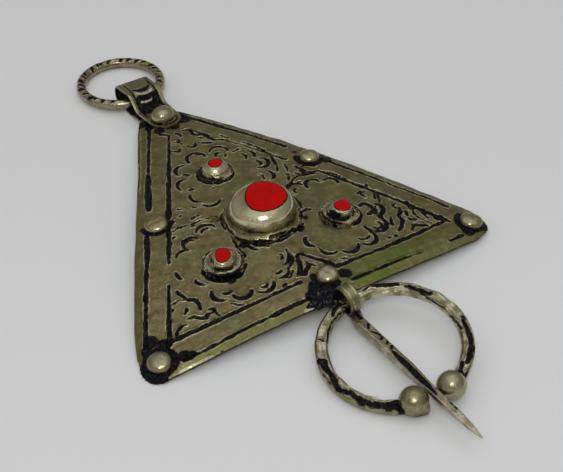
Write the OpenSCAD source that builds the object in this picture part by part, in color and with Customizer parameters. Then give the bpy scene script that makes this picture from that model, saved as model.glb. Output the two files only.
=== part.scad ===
// Triangular fibula: a crowned silver sheet with four red-capped settings, six domed rivets,
// a folded bail with its suspension ring, and a penannular ring that carries the pin.
// It lies face up. +Z is up, +Y runs from the pin to the suspension ring, +X is to the right.
// Millimetres.

/* [Plate] */
// Distance between the two lower corner rivets
stud_span = 85; // [70:1:100]
// Distance from the lower rivets' line up to the apex rivet's corner
stud_rise = 79; // [65:1:92]
// Metal outside the lines that join the corner rivets
rim_w = 5.5; // [5.2:0.1:6.5]
// Radius of the plate's corners
corner_r = 6.8; // [6.5:0.1:8]
// Thickness of the sheet
sheet_t = 1.1; // [0.8:0.1:1.6]
// Radius of the crown across the plate
crown_across = 250; // [220:5:400]
// Radius of the crown along the plate
crown_along = 500; // [450:10:900]

/* [Chasing] */
// Width of the two grooves along each side
groove_w = 1.0; // [0.6:0.1:1.4]
// Depth of every chased line
groove_d = 0.3; // [0.15:0.05:0.4]
// Distance of the outer groove from the plate's edge
outer_groove = 2.5; // [1.8:0.1:2.6]
// Distance of the inner groove from the plate's edge
inner_groove = 7.7; // [7:0.1:8.5]
// Outer radius of a rosette
rosette_r = 12.6; // [11:0.1:13]
// Petals in a rosette
petals = 10; // [6:1:11]

/* [Settings] */
// Radius of the centre boss's brim
boss_brim_r = 9.3; // [8.6:0.1:9.6]
// Radius of the centre boss's ball-shaped crown
boss_ball_r = 8.1; // [7.6:0.1:8.4]
// Radius of the centre stone
boss_stone_r = 5.1; // [4.5:0.1:5.4]
// Radius of a small stone
small_stone_r = 1.9; // [1.5:0.1:2.1]

/* [Rivets] */
// Diameter of a rivet's head
head_d = 5.4; // [4.8:0.1:5.8]
// Height of a rivet's head
head_h = 1.7; // [1.2:0.1:2.2]
// Height of the apex rivet's head, which stands on the strap
apex_head_h = 2.9; // [1.7:0.1:2.9]
// Diameter of a rivet's shank
shank_d = 2.0; // [1.6:0.1:2.4]

/* [Bail] */
// Thickness of the folded strap
strap_t = 0.7; // [0.6:0.05:0.9]
// Width of the strap at its fold
strap_w = 9.2; // [8.8:0.1:9.8]
// Width of the strap's round end at its rivet
strap_end_w = 8.7; // [8:0.1:9]

/* [Suspension ring] */
// Radius of the ring at the middle of its wire
eye_r = 10.95; // [10.6:0.05:12]
// Radius of its wire
eye_wire_r = 1.35; // [1.1:0.05:1.4]

/* [Pin ring] */
// Radius of the penannular ring at the middle of its bar
hoop_r = 15.8; // [15.6:0.1:16]
// Width of the bar, across the ring
bar_w = 3.0; // [2.6:0.1:3]
// Thickness of the bar
bar_t = 2.4; // [2:0.1:2.4]
// Radius of the balls at its ends
ball_r = 3.25; // [2.9:0.05:3.3]

/* [Pin] */
// Length from the middle of the rolled head to the point
pin_l = 47; // [44:0.5:52]
// Width of the pin's rolled head
head_w = 3.1; // [2.6:0.1:3.2]
// Inner radius of the rolled head
head_bore_r = 2.85; // [2.75:0.05:2.9]
// Thickness of the strip that the head is rolled from
head_t = 0.6; // [0.5:0.05:0.65]

/* [Hidden] */
$fn = 48;
// facets of the large crown radii and of round pieces
crown_fn = 720;
round_fn = 96;
// gap between pieces that bear on each other, and round a rivet's shank
seat_gap = 0.05;
// gap between the straight strap and the crowned sheet
lay_gap = 0.1;
// height that every cutting prism spans
cut_h = 60;

// The plate's two straight upper sides lean by this angle from the Y axis
side_lean = atan2(stud_span / 2, stud_rise);
// Middle of the crown along Y, and the height of its top above the surface it lies on
crown_y = stud_rise / 3;
// The lower corners' round starts this far inside the corner rivets
corner_inset_y = corner_r - rim_w;
corner_inset_x = corner_inset_y / tan(45 - side_lean / 2);
// Lowest point of a lower corner, where the plate touches the surface
low_turn = atan2(crown_y / crown_along, stud_span / 2 / crown_across);
low_x = stud_span / 2 - corner_inset_x + corner_r * cos(low_turn);
low_y = crown_y - corner_inset_y + corner_r * sin(low_turn);
crown_top = sheet_t + crown_across - sqrt(crown_across^2 - low_x^2)
    + crown_along - sqrt(crown_along^2 - low_y^2);
// The crown's surface turns about a line along X; this is the radius of its tube's middle
crown_tube = crown_along - crown_across;

// Rivets: name, x, y, diameter and height of the head
STUD_X = 1;
STUD_Y = 2;
STUD_D = 3;
STUD_H = 4;
STUDS = [
    ["apex", -0.2, 77.3, head_d + 0.7, apex_head_h],
    ["upper_right", 22.3, 40.8, head_d, head_h],
    ["right", 43, 0.4, head_d + 0.3, head_h],
    ["lower", 1.2, 0.8, head_d, head_h],
    ["left", -42.5, -0.2, head_d + 0.3, head_h],
    ["upper_left", -22.9, 38, head_d + 0.4, head_h - 0.1]
];
// Distance from a rivet's middle to where the grooves beside it end
groove_stop = 4.2;
// Back head of a rivet
back_d = 3.2;
back_h = 0.4;

// Settings: name, x, y, brim radius, brim height, ball radius, height of the ball's centre,
// stone radius, height of the stone's seat, height of the stone's top
SET_X = 1;
SET_Y = 2;
SET_BRIM_R = 3;
SET_BRIM_H = 4;
SET_BALL_R = 5;
SET_BALL_Z = 6;
SET_STONE_R = 7;
SET_SEAT_Z = 8;
SET_TOP_Z = 9;
SETTINGS = [
    ["centre", -0.8, 26, boss_brim_r, 0.8, boss_ball_r, 0.2, boss_stone_r, 5.2, 7.0],
    ["upper", -1.2, 47.6, 4.3, 0.5, 3.7, 0, small_stone_r, 2.3, 3.3],
    ["left", -16.8, 16.7, 4.9, 1.2, 3.7, 0.3, small_stone_r + 0.1, 2.7, 3.8],
    ["right", 15.6, 17.1, 4.7, 1.0, 3.4, 0.3, small_stone_r, 2.5, 3.5]
];
// Depth that a soldered setting sinks into the sheet
solder_sink = 0.5;
// Radius of the hollow curve between a setting's brim and its ball
flare_r = 1.2;
// Height of a stone's top above the cut lip of its ball, at least
stone_show = 0.4;
// Radius of a stone's crowned top, as a multiple of the stone's own radius
stone_crown = 2.2;

// Rosettes: x, y and the direction that they face, away from the centre boss
ROSE_X = 0;
ROSE_Y = 1;
ROSE_TURN = 2;
ROSETTES = [
    [0, 45.2, 90],
    [-14.6, 17.2, 212],
    [14.4, 18.3, -28]
];
petal_r = 3.1;
petal_shift = 0.75;
petal_spread = 270;

// Suspension ring: middle of its wire inside the bail; its far side lies on the surface
eye_x = -0.7;
eye_y = 90.8;
eye_z = strap_t + 0.1 + eye_wire_r;
eye_tilt = asin((eye_z - eye_wire_r) / (2 * eye_r));

// Pin ring: its centre, and its tilt about X and about Y
hoop_centre = [1.85, -24.6, 4.3];
hoop_tilt_x = 4.8;
hoop_tilt_y = -7.9;
bar_chamfer = 0.5;
// Balls at the ring's two ends: x, y and z in the ring's own frame
BALLS = [
    [-5.5, -14.5, 1.05],
    [3.3, -15.8, 0.8]
];
// The bar's square end reaches this far past the middle of its ball
bar_end = 2.9;
// Solder between the ring and the plate's lower edge
solder_x = [-5.0, -1.6];
solder_y = -9.6;
solder_z = [4.4, 5.3];

// Pin: place of its rolled head in the ring's own frame, across the ring and above its bar,
// then the shank's turn towards the ring's gap and its rise towards the point
pin_side = -1.2;
head_lift = 1.25;
pin_yaw = 1.4;
pin_rise = 7.45;
// Shank sections: distance from the head, width, thickness, and the place of the section's
// middle, sideways and upwards
PIN_S = 0;
PIN_W = 1;
PIN_T = 2;
PIN_X = 3;
PIN_Z = 4;
PIN_SECTIONS = [
    [0, head_w, head_t, 0, 0],
    [2.6, head_w, 0.8, -0.1, 0],
    [5, 2.5, 2.2, -0.6, -0.75],
    [24, 2.5, 2.2, -0.6, -0.75],
    [31, 1.75, 1.7, -0.6, -0.75],
    [pin_l - 8, 1.7, 1.6, -0.6, -0.75],
    [pin_l - 3.5, 1.25, 1.1, -0.6, -0.75],
    [pin_l, 0.3, 0.3, -0.6, -0.75]
];
// Edge taken off the upper side of the shank, as a share of its thickness
pin_edge = 0.15;
// Depth of the rolled strip's middle under the middle of the head
pin_drop = head_bore_r + head_t / 2;

// Middle of the whole length, which is the origin
eye_far_y = eye_y + 2 * eye_r * cos(eye_tilt) + eye_wire_r;
pin_tip = in_head([0, -pin_l, PIN_SECTIONS[len(PIN_SECTIONS) - 1][PIN_Z]]);
middle_y = (eye_far_y + tilted_y(pin_tip) + hoop_centre[1]) / 2;

// Place of the rolled head along the ring's own Y axis
function head_y() = sqrt(hoop_r^2 - pin_side^2);
// Point of the shank's own frame, in the ring's frame
function in_head(p) = let (
        y = p[1] * cos(pin_rise) + p[2] * sin(pin_rise),
        z = p[2] * cos(pin_rise) - p[1] * sin(pin_rise) - pin_drop + head_lift
    ) [
        pin_side + p[0] * cos(pin_yaw) - y * sin(pin_yaw),
        head_y() + p[0] * sin(pin_yaw) + y * cos(pin_yaw),
        z
    ];
// World Y of a point of the ring's own frame, from the ring's centre
function tilted_y(p) = p[1] * cos(hoop_tilt_x) - p[2] * sin(hoop_tilt_x);
// Height of the plate's upper surface at x, y
function crown_z(x, y) = crown_top - crown_along
    + sqrt((crown_tube + sqrt(crown_across^2 - x^2))^2 - (y - crown_y)^2);

// The plate's outline: straight sides and round corners
module outline_2d() {
    r = corner_r;
    out_l = [-cos(side_lean), sin(side_lean)];
    out_r = [cos(side_lean), sin(side_lean)];
    right = [stud_span / 2 - corner_inset_x, corner_inset_y];
    left = [-right[0], right[1]];
    apex = [0, stud_rise - corner_inset_y / sin(side_lean)];
    for (p = [left, right, apex]) translate(p) circle(r = r, $fn = round_fn);
    polygon([
        left + r * out_l, apex + r * out_l, apex + r * out_r,
        right + r * out_r, right + [0, -r], left + [0, -r]
    ]);
}

// Everything under the crown's surface lowered by drop
module under_crown(drop) {
    sector = 24;
    translate([0, crown_y, crown_top - crown_along])
        rotate([0, -90, 0])
            rotate([0, 0, -sector / 2])
                rotate_extrude(angle = sector, $fn = crown_fn)
                    intersection() {
                        translate([crown_tube, 0]) circle(r = crown_across - drop, $fn = crown_fn);
                        translate([crown_along - cut_h / 2, -cut_h]) square([cut_h, 2 * cut_h]);
                    }
}

// Puts its children on the crown at x, y, standing along the surface's normal
module on_crown(x, y) {
    translate([x, y, crown_z(x, y)])
        rotate([-asin((y - crown_y) / crown_along), asin(x / crown_across), 0])
            children();
}

// One straight groove between two corners of the rivet triangle, set in or out by offset
module groove_2d(from, to, offset_out) {
    run = to - from;
    length = norm(run);
    turn = atan2(run[1], run[0]);
    translate(from) rotate(turn) translate([groove_stop, offset_out - groove_w / 2])
        square([length - 2 * groove_stop, groove_w]);
}

// The two grooves along each of the three sides
module border_2d() {
    corners = [[-stud_span / 2, 0], [0, stud_rise], [stud_span / 2, 0]];
    for (i = [0:2])
        for (edge = [outer_groove, inner_groove])
            groove_2d(corners[i], corners[(i + 1) % 3], rim_w - edge);
}

// Crescents of one rosette, open towards the centre boss
module rosette_2d() {
    for (k = [0:petals - 1])
        rotate(petal_spread * (k / (petals - 1) - 0.5))
            translate([rosette_r - petal_r, 0])
                difference() {
                    circle(r = petal_r);
                    translate([-petal_shift, 0]) circle(r = petal_r);
                }
}

// The sheet alone, with its chased lines
module chased_sheet() {
    difference() {
        intersection() {
            linear_extrude(cut_h) outline_2d();
            difference() {
                under_crown(0);
                under_crown(sheet_t);
            }
        }
        difference() {
            linear_extrude(cut_h) {
                border_2d();
                for (r = ROSETTES)
                    translate([r[ROSE_X], r[ROSE_Y]]) rotate(r[ROSE_TURN]) rosette_2d();
            }
            under_crown(groove_d);
        }
    }
}

// Soldered setting: a brim, a hollow curve and a ball-shaped crown with a seat for its stone
module setting(s) {
    brim_r = s[SET_BRIM_R];
    brim_h = s[SET_BRIM_H];
    difference() {
        union() {
            rotate_extrude($fn = round_fn) difference() {
                translate([0, -solder_sink]) square([brim_r, brim_h + flare_r + solder_sink]);
                translate([brim_r, brim_h + flare_r]) circle(r = flare_r);
            }
            intersection() {
                translate([0, 0, s[SET_BALL_Z]]) sphere(r = s[SET_BALL_R], $fn = round_fn);
                translate([0, 0, -solder_sink])
                    cylinder(r = s[SET_BALL_R] + 1, h = s[SET_TOP_Z] + solder_sink - stone_show);
            }
        }
        translate([0, 0, s[SET_SEAT_Z]])
            cylinder(r = s[SET_STONE_R] + seat_gap, h = cut_h, $fn = round_fn);
    }
}

// Smooth stone with a low crowned top, standing in its seat
module stone(s) {
    r = s[SET_STONE_R];
    crown_ball = stone_crown * r;
    color("red")
        translate([0, -middle_y, 0]) on_crown(s[SET_X], s[SET_Y])
            intersection() {
                translate([0, 0, s[SET_SEAT_Z] + seat_gap])
                    cylinder(r = r, h = s[SET_TOP_Z], $fn = round_fn);
                translate([0, 0, s[SET_TOP_Z] - crown_ball]) sphere(r = crown_ball, $fn = round_fn);
            }
}

module plate() {
    color("darkkhaki") translate([0, -middle_y, 0]) difference() {
        union() {
            chased_sheet();
            for (s = SETTINGS) on_crown(s[SET_X], s[SET_Y]) setting(s);
        }
        for (s = STUDS)
            on_crown(s[STUD_X], s[STUD_Y])
                cylinder(d = shank_d + 2 * seat_gap, h = 3 * sheet_t, center = true);
    }
}

// Domed rivet: head, shank and flattened back head; strap is the metal that it also holds
// above and below the sheet
module stud(s, strap = 0) {
    cap_d = s[STUD_D];
    cap_h = s[STUD_H];
    dome_r = (cap_d^2 / 4 + cap_h^2) / (2 * cap_h);
    top = strap + seat_gap;
    bottom = -sheet_t - strap - seat_gap;
    color("palegoldenrod") translate([0, -middle_y, 0]) on_crown(s[STUD_X], s[STUD_Y]) {
        intersection() {
            translate([0, 0, top + cap_h - dome_r]) sphere(r = dome_r, $fn = round_fn);
            translate([0, 0, top]) cylinder(d = cap_d + 1, h = cap_h);
        }
        translate([0, 0, bottom]) cylinder(d = shank_d, h = top - bottom + 0.2);
        translate([0, 0, bottom - back_h]) cylinder(d = back_d, h = back_h);
    }
}

// Strip bent through corner points in the Y-Z plane; each row is y, z and the bend's radius
BEND_R = 2;
// Short flats that make up one bend
bend_steps = 8;
function corner(rows, i) = [rows[i][0], rows[i][1]];
function heading(rows, i) = let (run = corner(rows, i + 1) - corner(rows, i)) run / norm(run);
function left_of(v) = [-v[1], v[0]];
function turned(v, angle) = v * cos(angle) + left_of(v) * sin(angle);
function turn_at(rows, i) = let (
        a = heading(rows, i - 1),
        b = heading(rows, i)
    ) atan2(left_of(a) * b, a * b);
// Places along one bend: each is a point of the middle line and the direction to its left
function bend_places(rows, i) = let (
        a = heading(rows, i - 1),
        turn = turn_at(rows, i),
        r = sign(turn) * rows[i][BEND_R],
        start = corner(rows, i) - a * r * tan(turn / 2),
        centre = start + r * left_of(a)
    ) [
        for (k = [0:bend_steps])
            let (angle = turn * k / bend_steps)
                [centre + turned(start - centre, angle), turned(left_of(a), angle)]
    ];

module bent_strip_2d(rows, t) {
    n = len(rows) - 1;
    places = [
        [corner(rows, 0), left_of(heading(rows, 0))],
        for (i = [1:n - 1]) each bend_places(rows, i),
        [corner(rows, n), left_of(heading(rows, n - 1))]
    ];
    polygon([
        for (p = places) p[0] + p[1] * t / 2,
        for (i = [len(places) - 1:-1:0]) places[i][0] - places[i][1] * t / 2
    ]);
}

// Strap's outline seen from above: tapered, with a round end at the rivet
module strap_outline_2d() {
    end_r = strap_end_w / 2;
    end_y = STUDS[0][STUD_Y] - 0.2;
    wide_y = 90;
    fold_y = 100;
    translate([0, end_y]) circle(r = end_r, $fn = round_fn);
    polygon([
        [-end_r, end_y], [end_r, end_y], [strap_w / 2, wide_y], [strap_w / 2, fold_y],
        [-strap_w / 2, fold_y], [-strap_w / 2, wide_y]
    ]);
}

// Middle line of the strap: over the plate, up over the wire, round the fold, back under the
// wire and under the plate
module bail() {
    lay = strap_t / 2 + lay_gap;
    front_y = 71;
    bend_y = 84.8;
    crest = [88.4, 6.4];
    fold = [97.2, 4.9];
    rows = [
        [front_y, crown_z(0, front_y) + lay, 0],
        [bend_y, crown_z(0, bend_y) + lay, 2.2],
        [crest[0], crest[1], 3],
        [fold[0], fold[1], 2.1],
        [fold[0], strap_t / 2, 2.1],
        [88.6, strap_t / 2, 4],
        [bend_y, crown_z(0, bend_y) - sheet_t - lay, 4],
        [front_y, crown_z(0, front_y) - sheet_t - lay, 0]
    ];
    stud_y = STUDS[0][STUD_Y];
    color("darkkhaki") translate([0, -middle_y, 0]) difference() {
        intersection() {
            translate([-strap_w, 0, 0]) rotate([90, 0, 90])
                linear_extrude(2 * strap_w) bent_strip_2d(rows, strap_t);
            linear_extrude(cut_h, center = true) strap_outline_2d();
        }
        on_crown(STUDS[0][STUD_X], stud_y)
            cylinder(d = shank_d + 2 * seat_gap, h = 3 * (sheet_t + strap_t), center = true);
    }
}

module suspension_ring() {
    color("silver") translate([eye_x, eye_y - middle_y, eye_z]) rotate([-eye_tilt, 0, 0])
        translate([0, eye_r, 0])
            rotate_extrude($fn = round_fn) translate([eye_r, 0]) circle(r = eye_wire_r);
}

// Puts its children in the penannular ring's own frame
module in_hoop() {
    translate(hoop_centre + [0, -middle_y, 0]) rotate([hoop_tilt_x, hoop_tilt_y, 0]) children();
}

// Section of the ring's bar, with its corners taken off
module bar_2d() {
    w = bar_w / 2;
    t = bar_t / 2;
    c = bar_chamfer;
    translate([hoop_r, 0]) polygon([
        [-w + c, -t], [w - c, -t], [w, -t + c], [w, t - c],
        [w - c, t], [-w + c, t], [-w, t - c], [-w, -t + c]
    ]);
}

// Ball on the bar's square end, flat where it is level with the bar's underside; way is 1
// where the bar ends counterclockwise, and -1 at its other end
module ball_end(b, way) {
    translate([b[0], b[1], 0]) rotate(atan2(b[1], b[0])) {
        intersection() {
            translate([0, 0, b[2]]) sphere(r = ball_r, $fn = round_fn);
            translate([0, 0, -bar_t / 2]) cylinder(r = ball_r + 1, h = 2 * ball_r + bar_t);
        }
        translate([-bar_w / 2, (way - 1) / 2 * bar_end, -bar_t / 2]) cube([bar_w, bar_end, bar_t]);
    }
}

module pin_ring() {
    from = atan2(BALLS[1][1], BALLS[1][0]);
    to = atan2(BALLS[0][1], BALLS[0][0]) + 360;
    color("silver") {
        in_hoop() {
            rotate(from) rotate_extrude(angle = to - from, $fn = round_fn) bar_2d();
            ball_end(BALLS[0], 1);
            ball_end(BALLS[1], -1);
        }
        translate([solder_x[0], solder_y - middle_y, solder_z[0]])
            cube([solder_x[1] - solder_x[0], -rim_w - solder_y, solder_z[1] - solder_z[0]]);
    }
}

// Points of one section of the pin: square below, with its upper edges taken off
function pin_section(row) = let (
        w = row[PIN_W] / 2,
        t = row[PIN_T] / 2,
        c = pin_edge * row[PIN_T]
    ) [
        for (p = [[-w, -t], [w, -t], [w, t - c], [w - c, t], [-w + c, t], [-w, t - c]])
            [row[PIN_X] + p[0], -row[PIN_S], row[PIN_Z] + p[1]]
    ];

// Tapered shank, lofted through its sections
module pin_shank() {
    sides = 6;
    n = len(PIN_SECTIONS);
    points = [for (row = PIN_SECTIONS) each pin_section(row)];
    walls = [
        for (i = [0:n - 2])
            for (k = [0:sides - 1])
                let (a = i * sides + k, b = i * sides + (k + 1) % sides)
                    [a, a + sides, b + sides, b]
    ];
    first = [for (k = [0:sides - 1]) k];
    last = [for (k = [sides - 1:-1:0]) (n - 1) * sides + k];
    polyhedron(points, concat(walls, [first, last]));
}

// Rolled head, bored for the ring, with the shank running from its underside
module pin() {
    color("silver") in_hoop() translate([pin_side, head_y(), head_lift]) rotate(pin_yaw) difference() {
        union() {
            rotate([0, 90, 0])
                cylinder(r = head_bore_r + head_t, h = head_w, center = true, $fn = round_fn);
            translate([0, 0, -pin_drop]) rotate([-pin_rise, 0, 0]) pin_shank();
        }
        rotate([0, 90, 0]) cylinder(r = head_bore_r, h = 2 * head_w, center = true, $fn = round_fn);
    }
}

module centre_stone() { stone(SETTINGS[0]); }
module upper_stone() { stone(SETTINGS[1]); }
module left_stone() { stone(SETTINGS[2]); }
module right_stone() { stone(SETTINGS[3]); }
module apex_stud() { stud(STUDS[0], strap_t + lay_gap + seat_gap); }
module upper_right_stud() { stud(STUDS[1]); }
module right_stud() { stud(STUDS[2]); }
module lower_stud() { stud(STUDS[3]); }
module left_stud() { stud(STUDS[4]); }
module upper_left_stud() { stud(STUDS[5]); }

plate();
centre_stone();
upper_stone();
left_stone();
right_stone();
apex_stud();
upper_right_stud();
right_stud();
lower_stud();
left_stud();
upper_left_stud();
bail();
suspension_ring();
pin_ring();
pin();
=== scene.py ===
"""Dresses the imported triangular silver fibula: chased sheet, settings, rivets, bail, rings and pin."""

import logging
import math
from dataclasses import dataclass
from enum import Enum, IntEnum
from typing import Iterable, Sequence

import bmesh
import bpy
import numpy as np
from mathutils import Matrix, Vector


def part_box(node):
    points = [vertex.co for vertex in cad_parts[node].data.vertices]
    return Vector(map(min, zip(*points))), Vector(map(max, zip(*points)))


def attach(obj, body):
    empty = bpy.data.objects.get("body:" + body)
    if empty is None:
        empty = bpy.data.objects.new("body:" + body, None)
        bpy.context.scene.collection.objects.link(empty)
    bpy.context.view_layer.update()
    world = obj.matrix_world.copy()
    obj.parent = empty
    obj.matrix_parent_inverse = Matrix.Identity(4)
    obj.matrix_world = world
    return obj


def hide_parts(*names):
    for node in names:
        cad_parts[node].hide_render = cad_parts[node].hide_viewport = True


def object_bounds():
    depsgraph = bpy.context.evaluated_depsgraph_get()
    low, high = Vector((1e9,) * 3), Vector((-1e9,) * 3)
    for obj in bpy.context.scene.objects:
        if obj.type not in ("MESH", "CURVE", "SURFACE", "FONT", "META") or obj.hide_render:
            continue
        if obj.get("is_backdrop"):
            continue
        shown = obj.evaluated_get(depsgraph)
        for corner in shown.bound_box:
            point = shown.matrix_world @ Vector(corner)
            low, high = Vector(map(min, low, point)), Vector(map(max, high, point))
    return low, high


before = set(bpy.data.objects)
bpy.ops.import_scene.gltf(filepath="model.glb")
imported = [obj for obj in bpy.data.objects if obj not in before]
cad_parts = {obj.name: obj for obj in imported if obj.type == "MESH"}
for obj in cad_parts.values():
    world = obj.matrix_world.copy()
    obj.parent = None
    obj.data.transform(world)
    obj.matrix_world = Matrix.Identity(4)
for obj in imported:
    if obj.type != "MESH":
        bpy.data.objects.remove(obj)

log = logging.getLogger("fibula")

RGB = tuple[float, float, float]
Row = tuple[float, ...]
MM = 0.001
# Signed distance, in millimetres, that stands for no chisel stroke nearby
NO_INK = 2.0
# Width of the sheet outside its corner rivets, and the frame's middle along the plate's own Y
SHEET_RIM = 5.5
SHIFT_Y = -(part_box("plate")[0].y / MM + SHEET_RIM)


class Body(Enum):
    """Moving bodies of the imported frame."""

    BROOCH = "brooch"
    PIN = "pin"
    EYE = "suspension_ring"


class Side(IntEnum):
    """Straight sides of the sheet, in the order that they are cut."""

    LEFT = 0
    RIGHT = 1
    LOWER = 2


class Line(Enum):
    """Chiselled lines on both sides of the border's rivets."""

    OUTER = "outer"
    INNER = "inner"


class Slot(Enum):
    """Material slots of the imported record."""

    PLATE = "plate_silver"
    STRAP = "strap_silver"
    STUD = "stud_silver"
    RING = "ring_silver"
    HOOP = "hoop_silver"
    PIN = "pin_silver"
    STONE = "red_stone"


def ripple(x: np.ndarray, y: np.ndarray, period: float, seed: int) -> np.ndarray:
    """Smooth and repeatable unevenness of a hand-worked surface.

    Args:
        x: First coordinate of each point.
        y: Second coordinate of each point.
        period: Typical distance between two highs, in the same unit.
        seed: Number of the pattern.

    Returns:
        A value of about -1 to 1 for each point.
    """
    waves = 7
    random = np.random.default_rng(seed)
    turns = random.uniform(0, math.pi, waves)
    phases = random.uniform(0, 2 * math.pi, waves)
    stretches = random.uniform(0.65, 1.6, waves)
    total = np.zeros(len(x))
    for turn, phase, stretch in zip(turns, phases, stretches):
        wave = 2 * math.pi / (period * stretch)
        total += np.sin(wave * (x * math.cos(turn) + y * math.sin(turn)) + phase)
    return total / math.sqrt(2.0 * waves)


def soft_step(values: np.ndarray, low: float, high: float) -> np.ndarray:
    """Smooth rise from 0 at low to 1 at high; low may be the larger one."""
    share = np.clip((values - low) / (high - low), 0, 1)
    return share * share * (3 - 2 * share)


@dataclass(frozen=True)
class Stroke:
    """Chisel stroke, as rows of x, y and half width in millimetres."""

    points: tuple[Row, ...]

    @classmethod
    def arc(cls, x: float, y: float, radius: float, start: float, sweep: float, half: float) -> "Stroke":
        """Crescent stroke, widest in its middle.

        Args:
            x: Middle of the arc, first coordinate.
            y: Middle of the arc, second coordinate.
            radius: Radius of the arc.
            start: Direction of its first end, in degrees.
            sweep: Degrees from the first end to the other.
            half: Half width in the middle.

        Returns:
            The stroke.
        """
        steps = 10
        rows = []
        for i in range(steps + 1):
            share = i / steps
            angle = math.radians(start + sweep * share)
            thin = 0.3 + 0.7 * math.sin(math.pi * share)
            rows.append((x + radius * math.cos(angle), y + radius * math.sin(angle), half * thin))
        return cls(tuple(rows))


def stroke_distance(x: np.ndarray, y: np.ndarray, strokes: Iterable[Stroke]) -> np.ndarray:
    """Signed distance of each point to the nearest stroke's edge.

    Args:
        x: First coordinate of each point.
        y: Second coordinate of each point.
        strokes: The strokes.

    Returns:
        Millimetres, negative inside a stroke and at most NO_INK.
    """
    nearest = np.full(len(x), NO_INK)
    for stroke in strokes:
        for (x0, y0, h0), (x1, y1, h1) in zip(stroke.points, stroke.points[1:]):
            reach = NO_INK + max(h0, h1)
            near = np.nonzero(
                (x > min(x0, x1) - reach) & (x < max(x0, x1) + reach)
                & (y > min(y0, y1) - reach) & (y < max(y0, y1) + reach)
            )[0]
            if not len(near):
                continue
            run_x, run_y = x1 - x0, y1 - y0
            length_2 = max(run_x * run_x + run_y * run_y, 1e-9)
            from_x, from_y = x[near] - x0, y[near] - y0
            share = np.clip((from_x * run_x + from_y * run_y) / length_2, 0, 1)
            away = np.hypot(from_x - share * run_x, from_y - share * run_y)
            away -= h0 + (h1 - h0) * share
            nearest[near] = np.minimum(nearest[near], away)
    return nearest


def blotches(x: np.ndarray, y: np.ndarray, rows: Iterable[Row]) -> np.ndarray:
    """Soft round patches.

    Args:
        x: First coordinate of each point.
        y: Second coordinate of each point.
        rows: Middle x, middle y, radius and strength of each patch.

    Returns:
        The strongest patch's value at each point, 0 away from all.
    """
    total = np.zeros(len(x))
    for at_x, at_y, radius, strength in rows:
        away = np.hypot(x - at_x, y - at_y)
        total = np.maximum(total, strength * soft_step(away, radius, 0.45 * radius))
    return total


class NodeBench:
    """Short names for the shader nodes that the finishes and the sky are made from."""

    def __init__(self, tree: bpy.types.NodeTree, places: str) -> None:
        """Clears the tree and picks the coordinates that its textures follow."""
        self.tree = tree
        self.tree.nodes.clear()
        self.places = self.tree.nodes.new("ShaderNodeTexCoord").outputs[places]

    def feed(self, socket: bpy.types.NodeSocket, value: object) -> None:
        """Links a socket to another, or sets its value."""
        if isinstance(value, bpy.types.NodeSocket):
            self.tree.links.new(value, socket)
        else:
            socket.default_value = value

    def noise(self, size: float, detail: float = 3.0, roughness: float = 0.55) -> bpy.types.NodeSocket:
        """Noise whose features are about size millimetres across."""
        node = self.tree.nodes.new("ShaderNodeTexNoise")
        self.feed(node.inputs["Vector"], self.places)
        node.inputs["Scale"].default_value = 1.0 / (size * MM)
        node.inputs["Detail"].default_value = detail
        node.inputs["Roughness"].default_value = roughness
        return node.outputs["Fac"]

    def painted(self, name: str) -> bpy.types.NodeSocket:
        """Value kept on the mesh under that name."""
        node = self.tree.nodes.new("ShaderNodeAttribute")
        node.attribute_name = name
        return node.outputs["Fac"]

    def maths(self, operation: str, *values: object) -> bpy.types.NodeSocket:
        """One Math node."""
        node = self.tree.nodes.new("ShaderNodeMath")
        node.operation = operation
        for socket, value in zip(node.inputs, values):
            self.feed(socket, value)
        return node.outputs["Value"]

    def sway(self, noise: bpy.types.NodeSocket, amount: float, value: object) -> bpy.types.NodeSocket:
        """Value made uneven by a noise, which adds up to half the amount or takes it away."""
        return self.maths("MULTIPLY_ADD", self.maths("SUBTRACT", noise, 0.5), amount, value)

    def spread(
        self, value: object, low: float, high: float, to_low: float = 0.0, to_high: float = 1.0
    ) -> bpy.types.NodeSocket:
        """Maps low to high onto to_low to to_high, smoothly and clamped."""
        node = self.tree.nodes.new("ShaderNodeMapRange")
        node.interpolation_type = "SMOOTHSTEP"
        self.feed(node.inputs["Value"], value)
        for name, number in zip(("From Min", "From Max", "To Min", "To Max"), (low, high, to_low, to_high)):
            node.inputs[name].default_value = number
        return node.outputs["Result"]

    def mix(self, share: object, first: object, second: object) -> bpy.types.NodeSocket:
        """Colour mix; each colour is a socket or three numbers."""
        node = self.tree.nodes.new("ShaderNodeMix")
        node.data_type = "RGBA"
        self.feed(node.inputs["Factor"], share)
        for socket, value in zip((node.inputs[6], node.inputs[7]), (first, second)):
            self.feed(socket, value if isinstance(value, bpy.types.NodeSocket) else (*value, 1.0))
        return node.outputs[2]

    def bump(self, height: object, depth: float, below: object = None) -> bpy.types.NodeSocket:
        """Bump of that depth in millimetres, over another bump where one is given."""
        node = self.tree.nodes.new("ShaderNodeBump")
        node.inputs["Strength"].default_value = 1.0
        node.inputs["Distance"].default_value = depth * MM
        self.feed(node.inputs["Height"], height)
        if below is not None:
            self.feed(node.inputs["Normal"], below)
        return node.outputs["Normal"]

    def along(self, way: Vector) -> bpy.types.NodeSocket:
        """How far each place lies along a direction."""
        node = self.tree.nodes.new("ShaderNodeVectorMath")
        node.operation = "DOT_PRODUCT"
        self.feed(node.inputs[0], self.places)
        node.inputs[1].default_value = way
        return node.outputs["Value"]


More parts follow.
